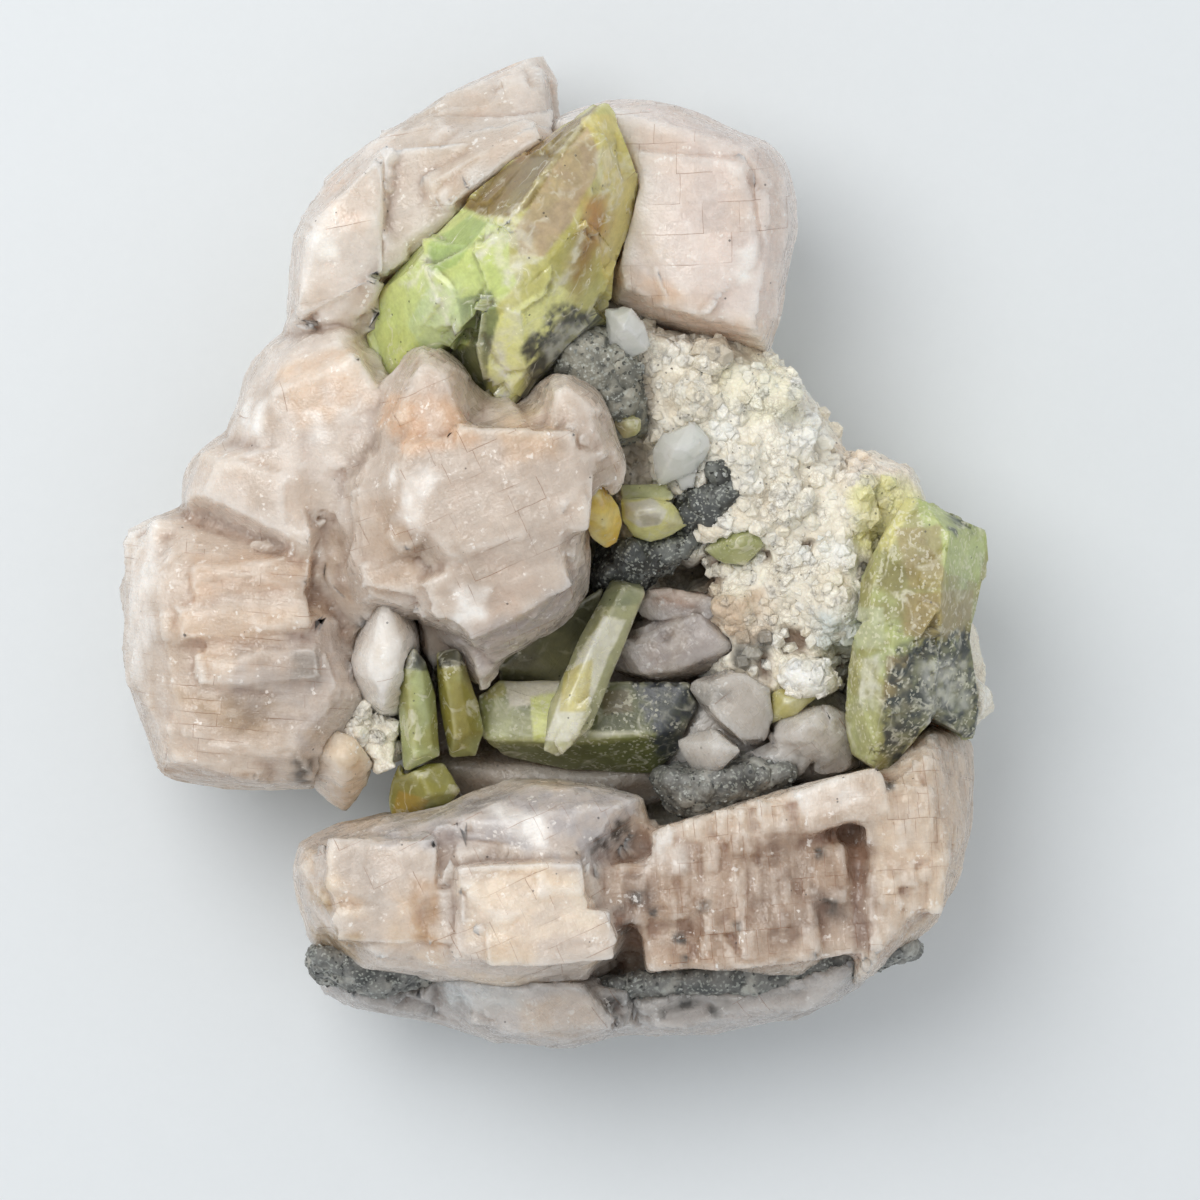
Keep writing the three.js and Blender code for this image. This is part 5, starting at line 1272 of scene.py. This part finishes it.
# %% The blades and prisms in the hollow
titanite_crystal(
    "titanite_cross_blade", "blade", (0, 12, 84), ("B4B48C", "C8C49A"), 321,
    patches=[
        (FROST_AND_HIGHLIGHT, 0.9, [(60.4, 61.4), (62.6, 62), (59.5, 69), (57, 74), (54.5, 74), (57, 67)]),
        ("8C9270", 0.8, [(60, 57), (65, 57), (64, 60.6), (60, 60.6)]),
        ("D9CC74", 0.7, [(56.4, 67), (59.4, 66), (58.6, 71), (56, 71)]),
    ],
)
titanite_crystal(
    "titanite_long_blade", "plates", (0, 0, 4), ("93955A", "A6AA6C", "7C8148"), 331, most=24000,
    patches=[
        ("6A7040", 0.9, [(50, 74.4), (56, 74.6), (69, 73.6), (67, 77.8), (58, 77.8), (50, 76)]),
        ("565A34", 0.95, [(59.4, 68), (68, 68), (68, 73), (59, 73)]),
        ("6E5A34", 0.6, [(60, 69), (63, 69), (63.4, 71), (60.4, 71.4)]),
        ("4D5150", 0.9, [(65, 68), (70.4, 68), (70, 73), (67.5, 76.5), (65.6, 74)]),
        ("E4DCC8", 0.9, [(50.6, 67.8), (56, 67.6), (56, 70), (51, 70.6)]),
        ("D9DE84", 0.9, [(53, 69.6), (58.4, 69), (59, 72), (57, 74.6), (53.4, 74)]),
        (FROST_AND_HIGHLIGHT, 0.6, [(58, 73.1), (64, 72.9), (64, 73.3), (58, 73.6)]),
        ("CFC478", 0.7, [(48, 68.6), (50.6, 68), (50.6, 69.4), (48.5, 70)]),
    ],
    coats=[
        ("40454A", 1.0, [(63.6, 67.6), (70.4, 68), (70, 73), (67.5, 77), (65, 74)]),
    ],
)
titanite_crystal(
    "titanite_dark_plate", "dark", (5, 8, 60), ("7C7A5E", "63634A"), 341, most=14000,
)
CAP = "46484A"
for k, (node, codes) in enumerate((
    ("titanite_left_prism", ("BCC48C", "A8A864", "C9D2A6")),
    ("titanite_second_prism", ("A0974C", "AEB276", "8F8A4A")),
    ("titanite_lower", ("A6A254", "B9BC7E", "9A9448")),
    ("titanite_vein", ("AFB47C", "C6C998")),
    ("titanite_wedge", ("C9C07C", "DDD7A6")),
    ("titanite_bead", ("C4C08C", "D6CBA0")),
)):
    titanite_crystal(
        node, "blade", (0, 4 * k, 80), codes, 351 + 10 * k, voxel=0.2, most=15000,
        patches=[
            (CAP, 0.95, [(39.8, 64.4), (43.4, 64.4), (43.4, 67), (39.8, 66.8)]),
            (CAP, 0.95, [(43.8, 64.4), (46.6, 64.4), (46.8, 66.4), (44, 66.8)]),
            ("C39A3C", 0.6, [(40, 79), (43, 80), (42, 82), (39, 82)]),
        ],
    )
titanite_crystal(
    "titanite_honey", "honey", (0, 0, 12), ("FFD664", "F8BC48", "FFE69A"), 421,
    voxel=0.2,
)
titanite_crystal(
    "titanite_yellow", "honey", (0, 0, 70), ("F8F2A4", "F0EAB0"), 431, voxel=0.2,
    patches=[
        ("BDC596", 0.8, [(62, 48.4), (67.8, 48.4), (67.8, 50), (62, 50)]),
        ("F4EEDC", 1.0, [(62.4, 50.3), (65, 50), (66.6, 51.2), (65.8, 52.6), (63.8, 52.8), (62.4, 51.8)]),
        ("B9B3A8", 0.6, [(63.6, 51.2), (66, 51.4), (65.6, 52.6), (64.2, 52.6)]),
    ],
)

# %% [markdown]
# ## The quartz chips
#
# The two chips are clear quartz with a breath of white in them. Clear crystal is made with plain
# transmission, the index of refraction of quartz and a little absorption. The surface is almost
# polished and a little duller where a white veil comes up to it; its shape is uneven.

# %% Quartz
QUARTZ_TURN = (20, 10, 5)


def quartz(name):
    """Clear quartz with white veils"""
    material, tree, shader = material_with(
        name, Transmission_Weight=0.3, IOR=1.55, Subsurface_Weight=0.85, Subsurface_Scale=0.002,
        Subsurface_Radius=(1.0, 1.0, 0.98),
    )
    place = place_in(tree, QUARTZ_TURN)
    veil = use(tree, VEILS, Place=place, Share=0.5, Width=0.05)["Veil"]
    mottled = use(tree, MOTTLE, Place=place, Colour=stored_tint(tree), Strength=0.1)
    tree.links.new(mixed(tree, veil, mottled["Colour"], paint("FFFFFF")), shader.inputs["Base Color"])
    tree.links.new(ranged(tree, veil, 0.06, 0.4), shader.inputs["Roughness"])
    bumped(tree, shader, mottled["Speck"], 0.03)
    haze = tree.nodes.new("ShaderNodeVolumeAbsorption")
    haze.inputs["Color"].default_value = (0.86, 0.85, 0.82, 1)
    haze.inputs["Density"].default_value = 12
    tree.links.new(haze.outputs[0], tree.nodes["Material Output"].inputs["Volume"])
    return material


QUARTZ = quartz("Clear quartz")
for k, node in enumerate(("quartz_chip", "quartz_chip_upper")):
    piece, mesh, points, normals = skin_and_corners([node], node + "_skin", 0.16, 0)
    edge = ease(-hollowness(mesh, 3), 0.02, 0.1)
    points = points + normals * (0.15 + 0.35 * edge * rough_noise(points, 1.3, 501 + k))[:, None]
    write(mesh, points + chiselled(points, normals, QUARTZ_TURN, 1.9, 504 + k))
    store_tint(mesh, natural_tint(points, ("F0F2EC", "E4E9E2"), 505 + k, 2.0))
    keep(piece, [QUARTZ], [node], most=7000)

# %% [markdown]
# ## Scattered small crystals
#
# Chlorite is a crust of scales, and albite looks like coarse sugar. Both are a ground skin with many
# small crystals sunk into it. Particle systems would do that too, but plain joined meshes are the
# simplest thing for other programs to read: one small template is copied to many places at once.

# %% Scatter a template over a skin
def spots_on(mesh, count, seed, allowed):
    """Places and normals spread over the faces, where `allowed` gives each face a chance"""
    size = len(mesh.polygons)
    centres, normals = np.empty(size * 3, np.float32), np.empty(size * 3, np.float32)
    areas = np.empty(size, np.float32)
    mesh.polygons.foreach_get("center", centres)
    mesh.polygons.foreach_get("normal", normals)
    mesh.polygons.foreach_get("area", areas)
    centres, normals = centres.reshape(-1, 3), normals.reshape(-1, 3)
    chance = areas * allowed(centres.astype(float), normals)
    picked = np.random.default_rng(seed).choice(size, count, replace=False, p=chance / chance.sum())
    return centres[picked].astype(float), normals[picked].astype(float)


def turned_from(normals, tilt, rng):
    """For each normal a set of three directions with the third near it, tilted at random"""
    third = normals + tilt * rng.normal(size=normals.shape)
    third /= np.linalg.norm(third, axis=1, keepdims=True)
    first = np.cross(third, rng.normal(size=third.shape))
    first /= np.linalg.norm(first, axis=1, keepdims=True)
    return np.stack([first, np.cross(third, first), third], axis=1)


def scattered(name, template, centres, frames, sizes, colours):
    """One mesh with a copy of the template (corners, faces) at each place"""
    corners, faces = template
    copies = np.einsum("ij,nj,njk->nik", corners, sizes, frames) + centres[:, None, :]
    mesh = bpy.data.meshes.new(name)
    shift = len(corners) * np.arange(len(centres))
    all_faces = [[i + s for i in face] for s in shift.tolist() for face in faces]
    mesh.from_pydata(copies.reshape(-1, 3), [], all_faces)
    store_tint(mesh, np.repeat(colours, len(corners), axis=0))
    return in_the_scene(name, mesh)


three_spots, _ = spots_on(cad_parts["quartz_chip"].data, 3, 1, lambda c, n: np.ones(len(c)))
print("three spots on a quartz chip, in mm:", (three_spots / MM).round(1).tolist())


# %% [markdown]
# ### Two templates
#
# Two shapes are enough: a grain of albite, which is a cube with its corners cut off, and a six-sided
# scale of chlorite. Both have few faces, because there are hundreds of each.

# %% Two templates
def rounded_grain():
    """A grain one millimetre wide: a cube with its corners cut off halfway along the edges"""
    corners = [np.roll((0, y, z), k) for k in range(3) for y in (-0.5, 0.5) for z in (-0.5, 0.5)]
    corners = np.array(corners, float)
    shape = bmesh.new()
    for corner in corners:
        shape.verts.new(corner)
    bmesh.ops.convex_hull(shape, input=shape.verts[:])
    shape.verts.index_update()
    faces = [[v.index for v in face.verts] for face in shape.faces]
    shape.free()
    return corners, faces


def scale_plate():
    """A six-sided scale, as chlorite grows"""
    ring = [(math.cos(k * math.pi / 3) / 2, math.sin(k * math.pi / 3) / 2) for k in range(6)]
    corners = np.array([(x, y, z) for z in (-0.5, 0.5) for x, y in ring])
    sides = [[k, (k + 1) % 6, (k + 1) % 6 + 6, k + 6] for k in range(6)]
    return corners, [[5, 4, 3, 2, 1, 0], [6, 7, 8, 9, 10, 11], *sides]


SUGAR_GRAIN, SCALE = rounded_grain(), scale_plate()
print("templates:", len(SUGAR_GRAIN[1]), "and", len(SCALE[1]), "faces")

# %% [markdown]
# ## Chlorite
#
# The dark crusts are chlorite: scales a few tenths of a millimetre wide, dark grey-green, that
# glitter where they face the light. A few of them are pale, like crumbs of feldspar.

# %% Chlorite material
# the pale colour of the glinting scales: painted glints
GLITTER = paint("B9BDB4")


def chlorite(name):
    """Dark chlorite with glittering scales"""
    material, tree, shader = material_with(name, IOR=1.6)
    place = place_in(tree, (0, 0, 0), wander=1.0)
    mottled = use(tree, MOTTLE, Place=place, Colour=stored_tint(tree), Strength=0.6)
    glint = use(tree, GLINTS, Place=place, Size=0.22, Share=0.2)
    # painted glints: the glinting scales are painted paler
    paler = product(tree, glint["Glint"], 0.5)
    tree.links.new(mixed(tree, paler, mottled["Colour"], GLITTER), shader.inputs["Base Color"])
    tree.links.new(ranged(tree, glint["Glint"], 0.55, 0.22), shader.inputs["Roughness"])
    bumped(tree, shader, maths(tree, "ADD", glint["Tilt"], mottled["Speck"]), 0.12)
    return material


CHLORITE = chlorite("Chlorite")
print("material:", CHLORITE.name)

# %% [markdown]
# ### The crusts
#
# Each crust is a lumpy skin whose hollows are painted darker as shade, with hundreds of scales stuck in
# it at all angles. A bumpy texture alone would look like rubber, because nothing would stand up at its edge.

# %% Chlorite crusts
SEAM = ("7A7A76", "A8A69E", "484A48")
VEIN = ("494C4B", "70736F", "2D2E2B")
POCKET = ("8E8C80", "B8B4A6", "55564F")
CRUMB = paint("C4C8C4")
# painted shade: the hollows of a crust are darkened towards this colour
CRUST_HOLLOW_SHADE = "262826"


def chlorite_crust(node, codes, seed, scales):
    """A lumpy skin and the scales that stick in it"""
    piece, mesh, points, normals = skin_and_corners([node], node + "_skin", 0.26, 1)
    out = 0.1 + 0.6 * rough_noise(points, 2.2, seed) + 0.45 * pebbles(points, 1.1, seed + 1)
    out += 0.25 * pebbles(points, 0.6, seed + 2)
    write(mesh, points + normals * out[:, None])
    colours = natural_tint(points, codes, seed, 1.2)
    # painted shade in the hollows
    store_tint(mesh, with_hollow_shade_and_edge_light(colours, mesh, CRUST_HOLLOW_SHADE, 0.8, 0.15))
    rng = np.random.default_rng(seed)
    centres, facing = spots_on(mesh, scales, seed, lambda c, n: (n[:, 2] > -0.4) * 1.0)
    sizes = rng.uniform(0.2, 0.5, (scales, 1)) * (1, 1, 0.3)
    shades = rng.uniform(0, 1, (scales, 1)) ** 4
    tints = paint(codes[2]) + shades * (CRUMB - paint(codes[2]))
    flakes = scattered(node + "_scales", SCALE, centres, turned_from(facing, 0.6, rng), sizes, tints)
    keep(piece, [CHLORITE], [node], most=16000)
    keep(flakes, [CHLORITE], smooth=False)


for seed, (node, codes, scales) in enumerate((
    ("chlorite_pocket", POCKET, 700),
    ("chlorite_vein", VEIN, 800),
    ("chlorite_ledge", SEAM, 600),
    ("chlorite_seam_left", SEAM, 350),
    ("chlorite_seam_right", SEAM, 600),
), 601):
    chlorite_crust(node, codes, seed, scales)

# %% [markdown]
# ## Albite
#
# The white face in the upper middle looks like coarse sugar: albite crystals of about a millimetre,
# packed every way and half fused. The skin is broken into facets of one and two millimetres, and
# loose grains lie on it. The brown cavities are pressed in more than a millimetre deep. The finest
# crumbs and the dirt between them are a group of their own, because they are below the mesh.

# %% The crumbs group
CRUMBS, given = effect(
    "Crumbs",
    [("Place", "Vector", (0, 0, 0)), ("Size", "Float", 1.0), ("Gap width", "Float", 0.12)],
    [("Height", "Float"), ("Gap", "Float")],
)
uneven = clouds(CRUMBS, given["Place"], 1.3, 3.0)[1]
pushed = vectors(CRUMBS, "MULTIPLY_ADD", uneven, (0.8, 0.8, 0.8), given["Place"])
scaled = times(CRUMBS, pushed, maths(CRUMBS, "DIVIDE", 1.0, given["Size"]))
blocks = add(CRUMBS, "ShaderNodeTexVoronoi", {"Vector": scaled, "Scale": 1.0}).outputs
borders = add(CRUMBS, "ShaderNodeTexVoronoi", {"Vector": scaled, "Scale": 1.0},
              feature="DISTANCE_TO_EDGE").outputs
dome = weighted(CRUMBS, (parts(CRUMBS, blocks["Color"])[0], 0.6), (blocks["Distance"], -1.0))
hand_out(CRUMBS, Height=dome, Gap=ranged(CRUMBS, borders["Distance"], 1.0, 0.0, 0.0, given["Gap width"]))

# %% [markdown]
# ### Albite
#
# Sugary albite is white because light bounces about between its grains and comes out nearby. Very
# short scattering gives that; longer scattering would make it look like wax. Dirt fills the gaps in
# some areas only.

# %% Albite material
DIRT = paint("988C7A")


def albite(name):
    """White sugary albite with dirt in some of the gaps between its crumbs"""
    material, tree, shader = material_with(
        name, Subsurface_Weight=0.5, Subsurface_Scale=0.0007, Subsurface_Radius=(1.0, 0.92, 0.82),
        IOR=1.53,
    )
    place = place_in(tree, (0, 0, 0), wander=0.6)
    mottled = use(tree, MOTTLE, Place=place, Colour=stored_tint(tree), Strength=0.25, Dot_share=0.16)
    glint = use(tree, GLINTS, Place=place, Size=0.8, Share=0.12)
    large = use(tree, CRUMBS, Place=place, Size=1.1)
    small = use(tree, CRUMBS, Place=place, Size=0.5)
    dirty = ranged(tree, clouds(tree, place, 0.3, 4.0)[0], 0.05, 0.45, 0.47, 0.64)
    gap = product(tree, maths(tree, "MAXIMUM", large["Gap"], small["Gap"]), dirty)
    tree.links.new(mixed(tree, gap, mottled["Colour"], DIRT), shader.inputs["Base Color"])
    tree.links.new(ranged(tree, glint["Glint"], 0.5, 0.25), shader.inputs["Roughness"])
    relief = weighted(tree, (large["Height"], 1.0), (small["Height"], 0.4), (mottled["Speck"], 0.3))
    bumped(tree, shader, relief, 0.26)
    return material


ALBITE = albite("Albite")
print("material:", ALBITE.name)

# %% [markdown]
# ### Where the sugar lies
#
# The face has an outline, six brown cavities, a heap against the titanite on the right, and areas that
# are stained, yellowish or blue-white. They are drawn on the plan, like the patches of the crystals.

# %% Where the sugar lies, and its patches
SUGAR = ("FBF4E4", "FFFCF2", "F2E8D4")
CAVITIES = [
    [(70, 56), (72, 55.5), (72.5, 58), (71.5, 60), (70, 59.5)],
    [(78, 62.5), (80.8, 63), (80.5, 65.5), (78.2, 65.2)],
    [(83.5, 65.5), (85, 65.5), (85, 69), (83.6, 69)],
    [(75.5, 65.5), (77, 65.5), (77, 68), (75.5, 68)],
    [(76, 55), (77.2, 55.2), (77, 56.4), (75.9, 56.2)],
    [(79.8, 54), (81, 54.2), (80.8, 55.4), (79.8, 55.2)],
]
HEAP = [(84, 47.6), (90, 47), (93.4, 51), (89, 57), (85, 57)]  # sugar against the right titanite
SUGAR_FACE = [
    (61, 28.5), (64, 30), (70, 32), (76.6, 34.5), (82, 40.5), (84, 44.5), (91, 49.2), (87, 55), (86, 64),
    (84, 69.5), (77, 69.2), (73, 64), (71, 57), (66, 54), (62, 50), (60.5, 42), (60, 36),
]
ALBITE_PATCHES = [
    ("C4A482", 0.7, [(70.6, 58.4), (74, 59.4), (77, 58.8), (77.6, 63), (75, 65), (72.6, 63.4), (71, 61)]),
    ("4E4D48", 0.95, [(73.4, 64.4), (76.6, 62.8), (77.4, 64.6), (76, 67.2), (73.4, 66.8)]),
    ("454743", 0.9, [(85.6, 56.4), (87.2, 56), (87.4, 58), (86, 58.2)]),
    ("454743", 0.8, [(84.4, 60.2), (86.6, 58.8), (86.8, 60.8), (85, 62)]),
    ("EBD9C6", 0.7, [(83.4, 44), (91.5, 46), (91, 52), (85, 50)]),
    ("EBE7AC", 0.9, [(84.8, 48.6), (89.6, 47.4), (94, 52), (88, 57), (85.2, 54)]),
    ("EDEACD", 0.6, [(74, 35), (79, 37), (80, 42), (75, 43), (71, 39)]),
    ("9C9284", 0.9, [(60.4, 36), (64.6, 36), (66, 41), (65, 49), (61, 49)]),
    ("A79A86", 0.6, [(64, 29.6), (72, 33), (76, 36), (74, 37), (66, 34)]),
    ("DCE3E0", 0.9, [(81, 61), (85.8, 61), (85.4, 65.6), (81, 64.6)]),
    ("FFFFFA", 0.8, [(78.2, 66), (83.4, 65.8), (83.2, 69), (78.6, 69.2)]),
]
print("cavities:", len(CAVITIES), "and patches:", len(ALBITE_PATCHES))

# %% [markdown]
# ### The ground under the sugar
#
# The ground is made like the other skins, with lumps, pits and small facets in place of steps. Only
# its upper side is worked: lower down it is the flat bed on which the specimen lies.

# %% The albite ground
SUGAR_TURN = (10, 25, 40)
# painted shade with some dirt: the hollows of the albite ground are darkened towards this colour
SUGAR_HOLLOW_SHADE = "8E8270"
CAVITY_BROWN = paint("6E523C")


def albite_ground(node, voxel, seed, most):
    """The lumpy ground, with its cavities and its heap of sugar"""
    piece, mesh, points, normals = skin_and_corners([node], node + "_skin", voxel, 2)
    places = wandering(points, 0.5, 1.5, seed)
    pit = sum(within(places, outline, 0.5) for outline in CAVITIES)
    face = ease(points[:, 2], 7, 10)  # only the upper side is sugary
    out = 0.5 * rough_noise(points, 5, seed)
    lumps = 0.9 * rough_noise(points, 2.6, seed + 1) + 0.4 * pebbles(points, 1.6, seed + 2)
    out += face * (lumps - 1.5 * pit + 1.2 * within(places, HEAP, 1.0))
    out *= ease(points[:, 2], 0.2, 2.0)
    points = points + normals * out[:, None]
    for size in (2.0, 1.1):
        points = points + 0.7 * face[:, None] * chiselled(points, normals, SUGAR_TURN, size, seed)
    points[:, 2] = np.maximum(points[:, 2], 0)
    write(mesh, points)
    colours = natural_tint(points, SUGAR, seed, 4.0)
    colours = with_patches(colours, points, ALBITE_PATCHES, seed)
    # painted shade, with some dirt, in the hollows between the lumps
    colours = with_hollow_shade_and_edge_light(colours, mesh, SUGAR_HOLLOW_SHADE, 0.5, 0.3)
    store_tint(mesh, towards(colours, CAVITY_BROWN, 0.85 * pit))
    return keep(piece, [ALBITE], [node], most=most)


ground = albite_ground("albite_matrix", 0.42, 701, 124000)
clump = albite_ground("albite_clump", 0.3, 711, 14000)

# %% [markdown]
# ### The sugar grains
#
# Loose grains stick out of the ground. They take its colours at their own place, so a stained area
# stays stained, and a few of them are dark specks of dirt.

# %% The sugar grains
SUNK = 0.3         # how deep a grain sits, in mm
DARK_SHARE = 0.04
SPECK = paint("77705F")


def sugar_grains(name, base, count, seed, allowed, low=0.7, high=1.9):
    """Small blocks of albite, sunk into the skin below them, in its colours or as dark specks"""
    rng = np.random.default_rng(seed)
    mesh = base.data.copy()
    mesh.transform(Matrix.Scale(1 / MM, 4))
    centres, facing = spots_on(mesh, count, seed, allowed)
    bpy.data.meshes.remove(mesh)
    sizes = rng.uniform(low, high, (count, 1)) * rng.uniform(0.6, 1.0, (count, 3))
    colours = with_patches(natural_tint(centres, SUGAR, seed, 4.0), centres, ALBITE_PATCHES, 701)
    colours = colours * rng.uniform(0.97, 1.05, (count, 1))
    dark = rng.uniform(0, 1, count) < DARK_SHARE
    colours[dark] = SPECK
    sizes[dark] *= 0.5
    frames = turned_from(facing, 1.0, rng)
    piece = scattered(name, SUGAR_GRAIN, centres - SUNK * facing, frames, sizes, colours)
    keep(piece, [ALBITE], smooth=False)


def on_the_face(centres, normals):
    """The upward side of the sugary face"""
    return within(on_plan(centres), SUGAR_FACE, 0.6) * (normals[:, 2] > 0.1) * (centres[:, 2] > 12)


def anywhere_above(centres, normals):
    """All that doesn't face downwards"""
    return (normals[:, 2] > -0.2) * 1.0


sugar_grains("albite_grains", ground, 900, 721, on_the_face)
sugar_grains("albite_clump_grains", clump, 120, 731, anywhere_above)

# %% [markdown]
# ## The table, the light and the camera
#
# The specimen lies on a plain pale table. One large soft lamp stands at the upper left, and a bright
# even surround fills the shadows, as in the photograph. The camera looks straight down through a long
# lens, so nothing leans outwards.

# %% A plain pale table
TABLE_SIZE = 1.5
PALE_PAPER = (0.75, 0.785, 0.81, 1)

table_mesh = bpy.data.meshes.new("table")
table_mesh.from_pydata([(x, y, 0) for x, y in square(0, 0, TABLE_SIZE)], [], [(0, 1, 2, 3)])
table = in_the_scene("table", table_mesh)
material, tree, shader = material_with("Pale paper", Roughness=0.85)
place = place_in(tree, (0, 0, 0))
paper = use(tree, MOTTLE, Place=place, Colour=PALE_PAPER, Strength=0.02, Dot_share=0.0)
tree.links.new(paper["Colour"], shader.inputs["Base Color"])
table_mesh.materials.append(material)
print("table:", TABLE_SIZE, "m wide")

# %% [markdown]
# ### Light
#
# The shadow falls to the lower right and has a wide soft edge. A wide disc of light gives the edge, and
# the strength of the surround decides how dark the shadow is.

# %% Soft light from the upper left
LAMP_PLACE = Vector((-0.24, 0.22, 0.66))
AIM = Vector((0.0, 0.0, 0.015))

lamp_data = bpy.data.lights.new("soft lamp", "AREA")
lamp_data.shape = "DISK"
lamp_data.size = 0.5
lamp_data.energy = 2.75
lamp_data.color = (1.0, 0.985, 0.96)
lamp = in_the_scene("soft lamp", lamp_data)
lamp.location = LAMP_PLACE
lamp.rotation_euler = (AIM - LAMP_PLACE).to_track_quat("-Z", "Y").to_euler()

world = bpy.data.worlds.new("even surround")
world.use_nodes = True
surround = world.node_tree.nodes["Background"]
surround.inputs["Color"].default_value = (0.97, 0.985, 1.0, 1)
surround.inputs["Strength"].default_value = 0.66
bpy.context.scene.world = world
bpy.context.scene.view_settings.view_transform = "Standard"
print("lamp", tuple(round(c, 2) for c in LAMP_PLACE), "at", lamp_data.energy, "W")

# %% [markdown]
# ### The camera
#
# A camera high above with a long lens shows the specimen almost without perspective. The lens is not
# tried out but worked out, from the height and from how much of the table the picture shows.

# %% The camera
CAMERA_HEIGHT = 1.2         # above the widest part of the specimen
WIDEST = 0.018              # height of the widest part
PICTURE_WIDTH = 0.12        # of the table, across the whole picture
PICTURE_MIDDLE = (0.00425, -0.0048)
SENSOR = 36                 # in mm

camera_data = bpy.data.cameras.new("camera")
camera_data.sensor_width = SENSOR
camera_data.lens = SENSOR * CAMERA_HEIGHT / PICTURE_WIDTH
camera_data.clip_start = 0.05
camera_data.clip_end = 10
camera = in_the_scene("camera", camera_data)
camera.location = (*PICTURE_MIDDLE, CAMERA_HEIGHT + WIDEST)
bpy.context.scene.camera = camera
print("lens:", round(camera_data.lens), "mm")

# %% [markdown]
# ## Sizes and finish
#
# The triangles of the finished pieces are counted, in all and in the largest piece.

# %% Sizes and finish
print("triangles in all:", sum(TRIANGLES.values()), "and at most", max(TRIANGLES.values()), "in a piece")
